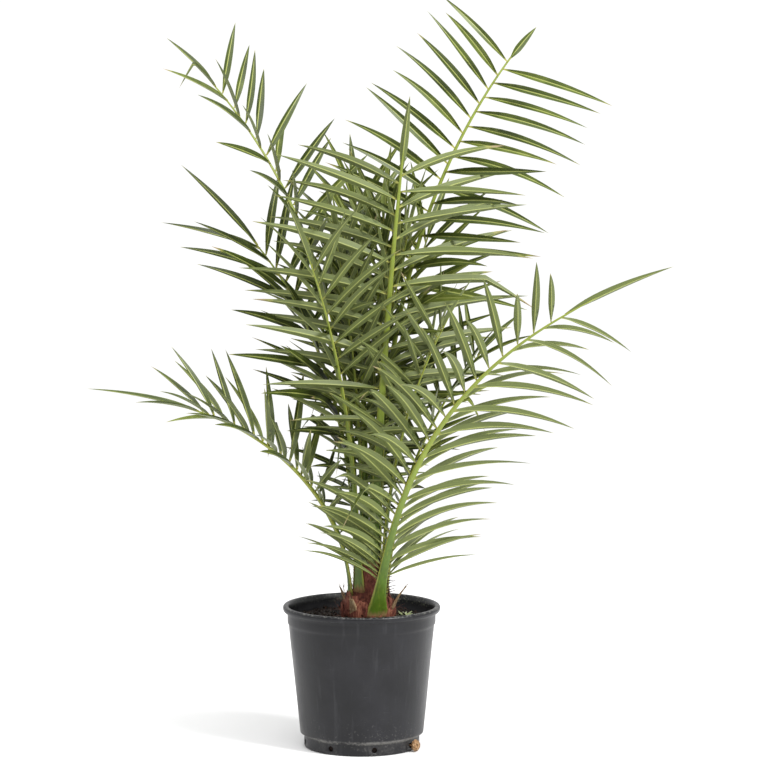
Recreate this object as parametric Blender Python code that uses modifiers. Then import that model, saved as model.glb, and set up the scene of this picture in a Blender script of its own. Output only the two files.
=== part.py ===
"""A young date palm in a plastic nursery pot, modelled in metres with +Z up.

The pot stands on the ground with the middle of its base at the origin. The root ball
fills it, the fibrous crown stands in the root ball, and the fronds grow out of the crown.
A frond is one piece: a swollen petiole, a tapering rachis, and two rows of leaflets.
Azimuths are in degrees, 0 along +X and 90 along +Y, and a frond leans towards its own.
"""

import math
import random
from dataclasses import dataclass

import bmesh
import bpy
from mathutils import Matrix, Vector
from mathutils.bvhtree import BVHTree

# ---------------------------------------------------------------- driving dimensions

POT_HEIGHT = 0.218
RIM_RADIUS = 0.120
COLLAR_RADIUS = 0.1130
SHOULDER_RADIUS = 0.1108
FOOT_RADIUS = 0.0942
BASE_RING_RADIUS = 0.0882
BASE_RING_HEIGHT = 0.019
LEDGE_HEIGHT = 0.0215
LIP_HEIGHT = 0.009
COLLAR_HEIGHT = 0.022
POT_WALL = 0.0022
DRAIN_HOLES = 8
DRAIN_RADIUS = 0.0045
DRAIN_HEIGHT = 0.0095
FIRST_DRAIN_AZIMUTH = -32.0
ROUND_STEPS = 40

SOIL_DEPTH_BELOW_RIM = 0.021
GAP = 0.0004

CROWN_X = 0.010
CROWN_RISE = 0.125
CROWN_DEPTH = 0.045
CROWN_STEPS = 20
CROWN_OUTLINE = (
    (CROWN_RISE, 0.0),
    (0.116, 0.0085),
    (0.090, 0.0165),
    (0.060, 0.0235),
    (0.036, 0.0285),
    (0.026, 0.0360),
    (0.012, 0.0405),
    (0.000, 0.0405),
    (-0.020, 0.0340),
    (-CROWN_DEPTH, 0.0180),
)

SOIL_Z = POT_HEIGHT - SOIL_DEPTH_BELOW_RIM

GREEN = (0.13, 0.20, 0.03, 1.0)
FIBRE_BROWN = (0.16, 0.07, 0.04, 1.0)
SOIL_BROWN = (0.02, 0.013, 0.01, 1.0)
POT_BLACK = (0.035, 0.035, 0.038, 1.0)

# ------------------------------------------------------------------- frond proportions

WALK_STEPS = 160
PETIOLE_RINGS = 4
PLAIN_RINGS = 6
TIP_GIRTH_SHARE = 0.24
DEPTH_SHARE = 0.72
SECTION_CORNERS = ((0.0, 1.0), (0.95, 0.10), (0.55, -0.85), (-0.55, -0.85), (-0.95, 0.10))
FLARE_WIDTH = 0.016
FLARE_REACH = 0.035
NECK_SHARE = 0.35
NECK_DROP = 0.014

BLADE_WIDTH_SHARE = 0.056
BLADE_LEAST_WIDTH = 0.0040
BLADE_THICKNESS = 0.0011
BLADE_WIDEST = 0.36
BLADE_FOLD = 0.35
BLADE_SAG = 0.10
CLEARANCE = 0.0006
FREE_START = 0.15

ANGLE_JITTER = 6.0
LIFT_SPREAD = 14.0
LIFT_JITTER = 10.0
LENGTH_JITTER = 0.07


@dataclass
class Frond:
    """One pinnate leaf: where it leaves the crown, how it rises and arches, its leaflets.

    A spear or a stub is the same thing with no leaflets, and a stub has no tip either.
    """

    name: str
    azimuth: float
    height: float
    rise: float
    droop: float
    length: float
    girth: float
    reach: float = 0.0
    bend: float = 1.3
    sweep: float = 0.0
    pairs: int = 0
    opening: float = 82.0
    fall: float = 38.0
    lift: float = 30.0
    bare: float = 0.24
    crowd: float = 1.0
    first: float = 0.34
    last: float = 0.84
    turn: float = 0.0
    flare: float = 0.7
    tip: float = 0.13


FRONDS = [
    Frond("frond_front_low", 292, 0.010, 73, 30, 0.60, 0.0140, 0.185, sweep=60, pairs=30, opening=56,
          fall=0, bare=0.10, crowd=1.75, first=0.9, last=0.64, lift=10, turn=-55, flare=1.7, tip=0.180),
    Frond("frond_left_low", 188, 0.033, 92, 18, 0.40, 0.0145, 0.160, 0.8, pairs=18, opening=72,
          fall=30, turn=-20, tip=0.170),
    Frond("frond_front_high", 296, 0.085, 84, 77, 0.61, 0.0165, 0.225, 1.2, pairs=19, opening=86,
          fall=14, lift=20, turn=-28, flare=0.2),
    Frond("frond_left_high", 170, 0.075, 90, 48, 0.79, 0.0120, 0.160, 1.5, pairs=21, turn=-25,
          flare=0.2, tip=0.105),
    Frond("frond_right_high", 22, 0.075, 90, 51, 0.82, 0.0125, 0.190, 1.5, pairs=24, opening=80,
          fall=8, lift=14, turn=80, flare=0.2, tip=0.070),
    Frond("frond_left_mid", 132, 0.045, 87, 47, 0.56, 0.0110, 0.200, 1.4, sweep=24, pairs=16,
          turn=-35, tip=0.190),
    Frond("frond_right_mid", 332, 0.045, 87, 62, 0.42, 0.0105, 0.165, sweep=10, pairs=15, tip=0.1),
    Frond("frond_front_left", 234, 0.045, 88, 62, 0.52, 0.0105, 0.170, pairs=16),
    Frond("frond_back_right", 62, 0.040, 86, 54, 0.56, 0.0110, 0.180, pairs=17, turn=25),
    Frond("frond_right_inner", 12, 0.033, 84, 48, 0.40, 0.0105, 0.155, pairs=14, turn=30, tip=0.1),
    Frond("frond_back_low", 108, 0.012, 82, 46, 0.46, 0.0110, 0.170, pairs=14),
    Frond("frond_back_high", 100, 0.076, 88, 66, 0.56, 0.0105, 0.175, 1.8, pairs=17, opening=62,
          fall=26, flare=0.2),
    Frond("frond_heart", 60, 0.106, 90, 80, 0.50, 0.0080, 0.180, pairs=16, opening=50, fall=20,
          flare=0.1),
    Frond("frond_heart_left", 216, 0.098, 90, 78, 0.46, 0.0085, 0.170, pairs=15, opening=50, fall=20,
          flare=0.1),
    Frond("frond_heart_right", 344, 0.104, 90, 76, 0.48, 0.0085, 0.175, pairs=15, opening=52, fall=20,
          flare=0.1),
]

SPEAR = Frond("spear_leaf", 150, 0.112, 90, 87, 0.40, 0.0075, bare=0.1, flare=0.0, tip=0.06)

STUBS = [
    Frond("stub_left", 180, 0.004, 88, 84, 0.048, 0.0065, bare=0.3, flare=0.1, tip=0.0),
    Frond("stub_front_left", 236, 0.006, 74, 62, 0.034, 0.0130, bare=0.3, flare=0.6, tip=0.0),
    Frond("stub_front_right", 346, 0.010, 70, 44, 0.050, 0.0110, bare=0.3, flare=0.5, tip=0.0),
    Frond("stub_back_right", 60, 0.004, 72, 54, 0.038, 0.0110, bare=0.3, flare=0.3, tip=0.0),
    Frond("stub_back_left", 150, 0.004, 76, 60, 0.044, 0.0110, bare=0.3, flare=0.2, tip=0.0),
]


# ----------------------------------------------------------------------- small helpers


def collection_named(name):
    """A new collection, linked into the scene."""
    made = bpy.data.collections.new(name)
    bpy.context.scene.collection.children.link(made)
    return made


def material_named(name, colour, roughness):
    """A plain material of that colour and roughness."""
    made = bpy.data.materials.new(name)
    made.use_nodes = True
    shader = made.node_tree.nodes["Principled BSDF"]
    shader.inputs["Base Color"].default_value = colour
    shader.inputs["Roughness"].default_value = roughness
    made.diffuse_color = colour
    return made


def object_from(bm, name, collection, material):
    """A mesh object made from a bmesh, which is freed."""
    mesh = bpy.data.meshes.new(name)
    bm.to_mesh(mesh)
    bm.free()
    made = bpy.data.objects.new(name, mesh)
    collection.objects.link(made)
    if material:
        mesh.materials.append(material)
    return made


def turned(name, profile, steps, collection, material):
    """A shape turned about Z from (radius, height) points that run down its outer side."""
    mesh = bpy.data.meshes.new(name)
    edges = [(i, i + 1) for i in range(len(profile) - 1)]
    mesh.from_pydata([(radius, 0.0, z) for radius, z in profile], edges, [])
    made = bpy.data.objects.new(name, mesh)
    collection.objects.link(made)
    if material:
        mesh.materials.append(material)
    screw = made.modifiers.new("turn", "SCREW")
    screw.steps = steps
    screw.render_steps = steps
    screw.use_merge_vertices = True
    screw.merge_threshold = 0.00005
    screw.use_smooth_shade = True
    return made


def hide_helper(helper):
    """Marks a cutter: it shapes a part and isn't one."""
    helper.hide_render = True
    helper.display_type = "WIRE"


def cut(target, cutter):
    """Takes the cutter's shape out of the target."""
    modifier = target.modifiers.new("cut_" + cutter.name, "BOOLEAN")
    modifier.operation = "DIFFERENCE"
    modifier.object = cutter


def heading(azimuth):
    """The level direction of an azimuth in degrees."""
    angle = math.radians(azimuth)
    return Vector((math.cos(angle), math.sin(angle), 0.0))


# ------------------------------------------------------------------------------ the pot


def wall_radius(z):
    """The pot's outer radius on its plain tapering wall, at height z."""
    collar_foot = POT_HEIGHT - LIP_HEIGHT - COLLAR_HEIGHT
    share = (z - LEDGE_HEIGHT) / (collar_foot - LEDGE_HEIGHT)
    return FOOT_RADIUS + (SHOULDER_RADIUS - FOOT_RADIUS) * share


def pot_profile():
    """Inside from the middle of the floor up to the rim, then down the outside."""
    collar_foot = POT_HEIGHT - LIP_HEIGHT - COLLAR_HEIGHT
    collar_top = POT_HEIGHT - LIP_HEIGHT
    lip = RIM_RADIUS - 0.0015
    return [
        (0.0, POT_WALL),
        (BASE_RING_RADIUS - POT_WALL, POT_WALL),
        (BASE_RING_RADIUS - POT_WALL, BASE_RING_HEIGHT),
        (FOOT_RADIUS - POT_WALL, LEDGE_HEIGHT),
        (SHOULDER_RADIUS - POT_WALL, collar_foot),
        (COLLAR_RADIUS - POT_WALL, collar_top),
        (COLLAR_RADIUS - POT_WALL + 0.001, POT_HEIGHT - 0.001),
        (COLLAR_RADIUS + 0.0005, POT_HEIGHT),
        (lip, POT_HEIGHT - 0.0008),
        (RIM_RADIUS, POT_HEIGHT - 0.0035),
        (RIM_RADIUS - 0.0008, POT_HEIGHT - LIP_HEIGHT + 0.0015),
        (lip - 0.001, POT_HEIGHT - LIP_HEIGHT),
        (COLLAR_RADIUS, collar_top),
        (COLLAR_RADIUS - 0.0006, collar_foot + 0.0015),
        (SHOULDER_RADIUS, collar_foot),
        (FOOT_RADIUS, LEDGE_HEIGHT),
        (BASE_RING_RADIUS + 0.001, BASE_RING_HEIGHT),
        (BASE_RING_RADIUS, BASE_RING_HEIGHT - 0.0015),
        (BASE_RING_RADIUS - 0.001, 0.0015),
        (BASE_RING_RADIUS - 0.003, 0.0),
        (0.0, 0.0),
    ]


def drain_azimuth(index):
    return FIRST_DRAIN_AZIMUTH + index * 360.0 / DRAIN_HOLES


def make_pot(parts, cutters):
    """The tapered pot with its rolled rim, its step-in foot ring and its drain holes."""
    pot = turned("pot", pot_profile(), ROUND_STEPS, parts, material_named("pot", POT_BLACK, 0.5))
    bm = bmesh.new()
    depth = 4 * POT_WALL
    for index in range(DRAIN_HOLES):
        out = heading(drain_azimuth(index))
        place = Matrix.Translation(out * (BASE_RING_RADIUS - POT_WALL / 2))
        place = Matrix.Translation((0, 0, DRAIN_HEIGHT)) @ place
        turn = out.to_track_quat("Z", "Y").to_matrix().to_4x4()
        bmesh.ops.create_cone(
            bm,
            cap_ends=True,
            segments=10,
            radius1=DRAIN_RADIUS,
            radius2=DRAIN_RADIUS,
            depth=depth,
            matrix=place @ turn,
        )
    drills = object_from(bm, "drain_drills", cutters, None)
    hide_helper(drills)
    cut(pot, drills)
    return pot


# ------------------------------------------------------------- the root ball and crown


def crown_radius(height):
    """The crown's radius at a height above the soil, read along its outline."""
    for (upper, small), (lower, large) in zip(CROWN_OUTLINE, CROWN_OUTLINE[1:]):
        if height >= lower:
            share = (upper - height) / (upper - lower)
            return small + (large - small) * share
    return CROWN_OUTLINE[-1][1]


def crown_profile(grown):
    """The crown's outline from its top down to its foot, larger all over by grown."""
    points = [(0.0, CROWN_RISE + 2 * grown)]
    for height, radius in CROWN_OUTLINE[1:]:
        points.append((radius + grown, height))
    points[-1] = (points[-1][0], -CROWN_DEPTH - grown)
    points.append((0.0, -CROWN_DEPTH - grown))
    return points


def make_crown(parts, cutters):
    """The fibrous crown, and a slightly larger copy that its neighbours are cut by."""
    at = (CROWN_X, 0.0, SOIL_Z)
    brown = material_named("crown_fibre", FIBRE_BROWN, 0.9)
    crown = turned("crown", crown_profile(0.0), CROWN_STEPS, parts, brown)
    crown.location = at
    clearance = turned("crown_clearance", crown_profile(GAP), CROWN_STEPS, cutters, None)
    clearance.location = at
    hide_helper(clearance)
    return clearance


def make_root_ball(parts, clearance):
    """The block of potting soil and roots, which follows the inside of the pot."""
    inside = POT_WALL + GAP
    floor = POT_WALL + GAP
    profile = [
        (0.0, SOIL_Z),
        (wall_radius(SOIL_Z - 0.004) - inside - 0.002, SOIL_Z),
        (wall_radius(SOIL_Z - 0.004) - inside, SOIL_Z - 0.004),
        (FOOT_RADIUS - inside, LEDGE_HEIGHT + GAP),
        (BASE_RING_RADIUS - inside, BASE_RING_HEIGHT + GAP),
        (BASE_RING_RADIUS - inside, floor),
        (0.0, floor),
    ]
    soil = material_named("soil", SOIL_BROWN, 1.0)
    ball = turned("root_ball", profile, ROUND_STEPS, parts, soil)
    cut(ball, clearance)
    return ball


# ------------------------------------------------------------------- how a frond grows


@dataclass
class Station:
    """A place along a frond: its middle, its directions and the size of its section."""

    centre: Vector
    along: Vector
    side: Vector
    up: Vector
    width: float
    depth: float


@dataclass
class Leaflet:
    """A blade: where it starts, which way it points, its flat direction, and its size."""

    base: Vector
    along: Vector
    across: Vector
    up: Vector
    length: float
    width: float


def frond_directions(frond, share):
    """The frond's along, side and up directions at a share of its length."""
    elevation = math.radians(frond.rise + (frond.droop - frond.rise) * share**frond.bend)
    out = heading(frond.azimuth + frond.sweep * share)
    along = out * math.cos(elevation) + Vector((0, 0, math.sin(elevation)))
    up = Vector((0, 0, math.cos(elevation))) - out * math.sin(elevation)
    side = along.cross(up)
    roll = Matrix.Rotation(math.radians(frond.turn * share), 3, along)
    return along, roll @ side, roll @ up


def frond_path(frond):
    """Points down the middle of the frond, evenly spaced from the crown to the tip."""
    out = heading(frond.azimuth)
    start = Vector((CROWN_X, 0.0, SOIL_Z + frond.height))
    point = start + out * 0.85 * crown_radius(frond.height)
    points = [point]
    for step in range(WALK_STEPS):
        along, _, _ = frond_directions(frond, (step + 0.5) / WALK_STEPS)
        point = point + along * frond.length / WALK_STEPS
        points.append(point)
    return points


def frond_section(frond, share):
    """The width and depth of the petiole and rachis at a share of the frond's length."""
    taper = frond.girth * (TIP_GIRTH_SHARE + (1.0 - TIP_GIRTH_SHARE) * (1.0 - share))
    swell = FLARE_WIDTH * frond.flare * math.exp(-share * frond.length / FLARE_REACH)
    return taper + swell, DEPTH_SHARE * taper + 0.25 * swell


def station_at(frond, path, share):
    """The frond's station at a share of its length."""
    place = share * WALK_STEPS
    before = min(int(place), WALK_STEPS - 1)
    centre = path[before].lerp(path[before + 1], place - before)
    return Station(centre, *frond_directions(frond, share), *frond_section(frond, share))


def neck_station(frond):
    """The thin start of the petiole, inside the crown, which the crown then cuts off."""
    centre = Vector((CROWN_X, 0.0, SOIL_Z + frond.height - NECK_DROP))
    centre += heading(frond.azimuth) * 0.35 * crown_radius(frond.height)
    width, depth = frond_section(frond, 0.0)
    directions = frond_directions(frond, 0.0)
    return Station(centre, *directions, NECK_SHARE * width, NECK_SHARE * depth)


def leafy_share(frond, band):
    """How far along the leafy part a leaflet stands; the first ones may crowd together."""
    return ((band + 0.5) / (2 * frond.pairs)) ** frond.crowd


def frond_stations(frond):
    """The rings of the frond, and the places between the leafy ones where leaflets start."""
    path = frond_path(frond)
    rings = [neck_station(frond)]
    for ring in range(PETIOLE_RINGS):
        rings.append(station_at(frond, path, frond.bare * (ring / PETIOLE_RINGS) ** 1.4))
    bands = 2 * frond.pairs or PLAIN_RINGS
    leafy = 1.0 - frond.bare
    for ring in range(bands + 1):
        rings.append(station_at(frond, path, frond.bare + leafy * (ring / bands) ** frond.crowd))
    places = []
    for band in range(2 * frond.pairs):
        places.append(station_at(frond, path, frond.bare + leafy * leafy_share(frond, band)))
    return rings, places


def leaflet_length_share(frond, share):
    """Short leaflets at the foot of the leafy part, the longest ones near its middle."""
    if share < 0.40:
        eased = share / 0.40
        return frond.first + (1.0 - frond.first) * eased * eased * (3.0 - 2.0 * eased)
    return 1.0 - (1.0 - frond.last) * ((share - 0.40) / 0.60) ** 2


def leaflet_room(frond, share):
    """The widest that a leaflet may be for how crowded it stands."""
    spacing = frond.length * (1.0 - frond.bare) / frond.pairs
    return 0.0025 + 0.75 * spacing * frond.crowd * share ** (1.0 - 1.0 / frond.crowd)


def leaflet_wish(frond, share, plane, chance):
    """The angles and length that a leaflet would take with nothing in its way."""
    angle = frond.opening - frond.fall * share + chance.uniform(-1, 1) * ANGLE_JITTER
    lift = frond.lift + plane * LIFT_SPREAD + chance.uniform(-1, 1) * LIFT_JITTER
    stretch = 1.0 + chance.uniform(-1, 1) * LENGTH_JITTER
    return angle, lift, frond.reach * leaflet_length_share(frond, share) * stretch


def leaflet_at(place, right, angle, lift, length, room):
    """The leaflet that stands at those angles to the rachis."""
    side = place.side if right else -place.side
    angle, lift = math.radians(angle), math.radians(lift)
    away = side * math.cos(lift) + place.up * math.sin(lift)
    along = place.along * math.cos(angle) + away * math.sin(angle)
    up = place.up - side * 0.25
    up = (up - along * up.dot(along)).normalized()
    across = along.cross(up)
    if across.dot(place.along) < 0:
        across = -across
    base = place.centre + side * place.width * 0.36 + place.up * place.depth * 0.2
    width = max(BLADE_LEAST_WIDTH, min(BLADE_WIDTH_SHARE * length, room))
    return Leaflet(base, along, across, up, length, width)


def blade_section(leaflet, extra=0.0):
    """The folded section at the blade's widest place: near edge, keel, far edge, crease."""
    sag = Vector((0, 0, -BLADE_SAG * leaflet.length * BLADE_WIDEST**2))
    middle = leaflet.base + leaflet.along * leaflet.length * BLADE_WIDEST + sag
    half = leaflet.across * (leaflet.width / 2 + extra)
    fold = leaflet.up * (leaflet.width / 2) * BLADE_FOLD
    thick = leaflet.up * (BLADE_THICKNESS / 2 + extra)
    return middle - half + fold, middle - thick, middle + half + fold, middle + thick


def blade_tip(leaflet):
    """The point of the blade, which hangs a little."""
    sag = Vector((0, 0, -BLADE_SAG * leaflet.length))
    return leaflet.base + leaflet.along * leaflet.length + sag


def rachis_section(station, extra=0.0):
    """The rachis's five corners, seen from its tip: ridge on top, flat beneath."""
    half = station.width / 2 + extra
    deep = station.depth / 2 + extra
    return [
        station.centre + station.side * half * across + station.up * deep * height
        for across, height in SECTION_CORNERS
    ]


# -------------------------------------------------------------- keeping leaflets apart


def tree_of(points, faces):
    """A search tree of a closed shape, with the low and high corners of its box."""
    low = [min(point[axis] for point in points) for axis in range(3)]
    high = [max(point[axis] for point in points) for axis in range(3)]
    return BVHTree.FromPolygons([tuple(point) for point in points], faces), low, high


def blade_tree(corners, leaflet, start):
    """A search tree of the blade from a share of the way to its widest place onwards."""
    widest = blade_section(leaflet, CLEARANCE)
    points = [corner.lerp(wide, start) for corner, wide in zip(corners, widest)]
    points += widest
    points.append(blade_tip(leaflet) + leaflet.along * CLEARANCE)
    faces = []
    for corner in range(4):
        after = (corner + 1) % 4
        faces.append((corner, after, 4 + after, 4 + corner))
        faces.append((4 + corner, 4 + after, 8))
    return tree_of(points, faces)


def tip_station(frond, rings):
    """The flat, widest place of the blade that ends the frond."""
    last = rings[-1]
    centre = last.centre + last.along * frond.tip * BLADE_WIDEST
    width = min(0.010, 0.09 * frond.tip + last.width)
    return Station(centre, last.along, last.side, last.up, width, 0.0016)


def loft_tree(stations):
    """A search tree through the sections of some stations, a little thicker than they are."""
    points, faces = [], []
    for station in stations:
        points += rachis_section(station, CLEARANCE)
    for ring in range(len(stations) - 1):
        first = 5 * ring
        for corner in range(5):
            after = (corner + 1) % 5
            faces.append((first + corner, first + after, first + 5 + after, first + 5 + corner))
    return tree_of(points, faces)


def ending_stations(frond, rings):
    """The two stations of the blade that ends the frond: its widest place and its point."""
    if not frond.tip:
        return []
    wide = tip_station(frond, rings)
    point = rings[-1].centre + rings[-1].along * frond.tip
    return [wide, Station(point, wide.along, wide.side, wide.up, 0.0004, 0.0004)]


def clear_of(found, others):
    """Whether a shape touches none of the others."""
    tree, low, high = found
    for other, other_low, other_high in others:
        if low[0] > other_high[0] or other_low[0] > high[0]:
            continue
        if low[1] > other_high[1] or other_low[1] > high[1]:
            continue
        if low[2] > other_high[2] or other_low[2] > high[2]:
            continue
        if tree.overlap(other):
            return False
    return True


SHIFTS = sorted(
    [(swing, raised) for swing in range(-16, 17, 4) for raised in range(-30, 31, 6)],
    key=lambda shift: (shift[0] ** 2 + 0.5 * shift[1] ** 2, shift),
)
SHORTENINGS = (1.0, 0.85, 0.70, 0.52, 0.36)


def face_corners(before, after, right, extra=0.0):
    """The corners of the rachis's upper side face that a leaflet is drawn out of."""
    low, high = rachis_section(before, extra), rachis_section(after, extra)
    corner = 1 if right else 4
    return low[0], low[corner], high[corner], high[0]


def place_leaflet(frond, rings, place, band, chance, own, foreign):
    """The leaflet nearest to its wish that touches nothing, with its two search trees.

    The blades of one frond meet at its rachis, so among them only the outer part counts.
    """
    share = leafy_share(frond, band)
    room = leaflet_room(frond, share)
    right = band % 2 == 0
    plane = 1 if band % 4 < 2 else -1
    corners = face_corners(rings[0], rings[1], right, CLEARANCE)
    angle, lift, length = leaflet_wish(frond, share, plane, chance)
    for shorter in SHORTENINGS:
        for swing, raised in SHIFTS:
            turned_to = angle + swing, lift + raised
            leaflet = leaflet_at(place, right, *turned_to, length * shorter, room)
            outer = blade_tree(corners, leaflet, FREE_START)
            whole = blade_tree(corners, leaflet, 0.0)
            if clear_of(outer, own) and clear_of(whole, foreign):
                return leaflet, outer, whole
    return None, None, None


def grow(fronds, others):
    """The rings of every frond and its leaflets, placed in turn so that none touch."""
    stations, stems, leaflets, blades = {}, {}, {}, []
    for frond in fronds + others:
        stations[frond.name] = frond_stations(frond)
        rings = stations[frond.name][0]
        stems[frond.name] = loft_tree(rings + ending_stations(frond, rings))
    for frond in fronds:
        chance = random.Random(frond.name)
        rings, places = stations[frond.name]
        own = [loft_tree(ending_stations(frond, rings))]
        foreign = [tree for name, tree in stems.items() if name != frond.name] + blades
        leaflets[frond.name] = []
        for band, place in enumerate(places):
            ends = rings[1 + PETIOLE_RINGS + band : 3 + PETIOLE_RINGS + band]
            leaflet, outer, whole = place_leaflet(frond, ends, place, band, chance, own, foreign)
            leaflets[frond.name].append(leaflet)
            if leaflet:
                own.append(outer)
                blades.append(whole)
    return stations, stems, leaflets


# ------------------------------------------------------------------ meshing the fronds


def move_to(face, points):
    """Puts a face's corners on the points, in order."""
    for vertex, point in zip(face.verts, points):
        vertex.co = point


def split_outwards(face):
    """Splits a bent four-sided face along the diagonal that makes it bulge, not sink."""
    first, second, third, fourth = face.verts
    normal = (second.co - first.co).cross(third.co - first.co)
    if normal.dot(fourth.co - first.co) < 0:
        bmesh.utils.face_split(face, first, third)
    else:
        bmesh.utils.face_split(face, second, fourth)


def draw_blade(bm, near, keel, far, crease, leaflet):
    """Draws a leaflet out of the rachis's face between four corners, then points it."""
    face = bm.faces.get((near, keel, far, crease))
    wanted = dict(zip((near, keel, far, crease), blade_section(leaflet)))
    points = [wanted[vertex] for vertex in face.verts]
    drawn = bmesh.ops.extrude_discrete_faces(bm, faces=[face])["faces"][0]
    move_to(drawn, points)
    for edge in list(drawn.edges):
        split_outwards(next(side for side in edge.link_faces if side != drawn))
    poked = bmesh.ops.poke(bm, faces=[drawn])
    poked["verts"][0].co = blade_tip(leaflet)


def frond_mesh(frond, rings, leaflets):
    """The frond's bmesh: a five-sided prism drawn out ring by ring, then the blades."""
    bm = bmesh.new()
    bmesh.ops.create_cone(bm, cap_ends=True, segments=5, radius1=1, radius2=1, depth=1)
    cap = max(bm.faces, key=lambda face: face.calc_center_median().z)
    upper = list(cap.verts)
    lower = [next(e for e in v.link_edges if e not in cap.edges).other_vert(v) for v in upper]
    for vertex, point in zip(lower, rachis_section(rings[0])):
        vertex.co = point
    move_to(cap, rachis_section(rings[1]))
    loops = [lower, upper]
    for station in rings[2:]:
        cap = bmesh.ops.extrude_discrete_faces(bm, faces=[cap])["faces"][0]
        move_to(cap, rachis_section(station))
        loops.append(list(cap.verts))
    if frond.tip:
        wide, point = ending_stations(frond, rings)
        cap = bmesh.ops.extrude_discrete_faces(bm, faces=[cap])["faces"][0]
        move_to(cap, rachis_section(wide))
        poked = bmesh.ops.poke(bm, faces=[cap])
        poked["verts"][0].co = point.centre
    for band, leaflet in enumerate(leaflets):
        if leaflet is None:
            continue
        before, after = loops[1 + PETIOLE_RINGS + band], loops[2 + PETIOLE_RINGS + band]
        corner = 1 if band % 2 == 0 else 4
        draw_blade(bm, before[0], before[corner], after[corner], after[0], leaflet)
    return bm


def make_frond(frond, rings, leaflets, clearance, parts, material):
    """A frond, spear or stub as one object, cut free of the crown."""
    made = object_from(frond_mesh(frond, rings, leaflets), frond.name, parts, material)
    cut(made, clearance)
    return made


# ----------------------------------------------------------------------- the root tuft


def make_root_tuft(parts, cutters):
    """The roots that have grown out through a drain hole and matted against the pot."""
    out = heading(FIRST_DRAIN_AZIMUTH)
    chance = random.Random("roots")
    bm = bmesh.new()
    bmesh.ops.create_icosphere(bm, subdivisions=2, radius=1.0)
    for vertex in bm.verts:
        bump = 1.0 + chance.uniform(-0.16, 0.16)
        vertex.co = Vector(
            (vertex.co.x * 0.0070 * bump, vertex.co.y * 0.0078 * bump, vertex.co.z * 0.0096 * bump)
        )
    lowest = min(vertex.co.z for vertex in bm.verts)
    turn = Matrix.Rotation(math.radians(FIRST_DRAIN_AZIMUTH), 4, "Z")
    reach = BASE_RING_RADIUS + 0.0086
    place = Matrix.Translation(out * reach + Vector((0, 0, GAP - lowest)))
    bmesh.ops.transform(bm, matrix=place @ turn, verts=bm.verts)
    tuft = object_from(bm, "root_tuft", parts, material_named("roots", FIBRE_BROWN, 0.95))
    plug = bmesh.new()
    inner = BASE_RING_RADIUS - POT_WALL - GAP / 2
    middle = out * (inner + reach) / 2 + Vector((0, 0, DRAIN_HEIGHT))
    bmesh.ops.create_cone(
        plug,
        cap_ends=True,
        segments=8,
        radius1=DRAIN_RADIUS - 0.0010,
        radius2=DRAIN_RADIUS - 0.0010,
        depth=reach - inner,
        matrix=Matrix.Translation(middle) @ out.to_track_quat("Z", "Y").to_matrix().to_4x4(),
    )
    neck = object_from(plug, "root_neck", cutters, None)
    hide_helper(neck)
    joined = tuft.modifiers.new("neck", "BOOLEAN")
    joined.operation = "UNION"
    joined.object = neck
    return tuft


# -------------------------------------------------------------------------------- main


def main():
    for leftover in list(bpy.data.objects):
        bpy.data.objects.remove(leftover, do_unlink=True)
    parts = collection_named("potted_palm")
    cutters = collection_named("cutters")
    make_pot(parts, cutters)
    clearance = make_crown(parts, cutters)
    make_root_ball(parts, clearance)
    make_root_tuft(parts, cutters)
    stations, stems, leaflets = grow(FRONDS, [SPEAR] + STUBS)
    green = material_named("frond_green", GREEN, 0.5)
    brown = material_named("dry_stub", FIBRE_BROWN, 0.9)
    for frond in FRONDS + [SPEAR] + STUBS:
        rings = stations[frond.name][0]
        colour = brown if frond in STUBS else green
        make_frond(frond, rings, leaflets.get(frond.name, []), clearance, parts, colour)
    return stations, stems, leaflets


GROWN = main()
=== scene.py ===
# %% [markdown]
# # A young date palm in its nursery pot
#
# The plant stands in a round black nursery pot, 24 cm across its rim. Long feathered fronds
# rise out of a short, fibrous crown: some stand nearly upright, some arch far out to the
# sides. Each frond is a green stalk with two rows of narrow, folded leaflets.
#
# The solids are already made and packed. This script loads them as a fixed frame and makes
# everything that is seen: each step first says what a piece is on the real plant, how it
# could be made in Blender, and why it is made the way it is. Lengths are in metres, +Z is up,
# and the origin is the middle of the pot's underside.

# %% Load the frame
import math
import random
from dataclasses import dataclass

import bmesh
import bpy
from mathutils import Matrix, Vector, noise
from mathutils.bvhtree import BVHTree


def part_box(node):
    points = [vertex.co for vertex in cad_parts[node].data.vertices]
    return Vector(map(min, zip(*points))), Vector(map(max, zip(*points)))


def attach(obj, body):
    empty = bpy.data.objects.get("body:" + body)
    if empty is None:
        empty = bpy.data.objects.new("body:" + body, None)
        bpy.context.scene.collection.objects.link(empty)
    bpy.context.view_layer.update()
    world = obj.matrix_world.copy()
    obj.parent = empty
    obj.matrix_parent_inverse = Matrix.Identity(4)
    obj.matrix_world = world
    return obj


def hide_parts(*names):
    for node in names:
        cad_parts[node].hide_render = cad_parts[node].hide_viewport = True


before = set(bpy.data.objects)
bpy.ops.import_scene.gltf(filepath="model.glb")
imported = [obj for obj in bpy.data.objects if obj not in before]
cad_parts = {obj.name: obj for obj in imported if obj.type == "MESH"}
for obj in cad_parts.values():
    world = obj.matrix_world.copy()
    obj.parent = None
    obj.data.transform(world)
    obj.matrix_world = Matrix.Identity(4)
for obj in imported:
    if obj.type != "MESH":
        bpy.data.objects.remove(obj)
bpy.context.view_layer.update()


# %% [markdown]
# ## Camera, light and ground
#
# A plant like this is shown from far away with a long lens, a little above it, so the pot's
# rim is a flat ellipse and the fronds keep their proportions. The studio is a white room.
# A room that shone as brightly as it looks would wash the leaves out, so it lights the plant
# with less than the camera sees. A large soft lamp on the right makes that side of the pot
# lighter and leaves a faint shadow on the ground to the left, which shows that the pot stands
# on something, and a second one above fills the leaves' upper sides.


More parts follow.
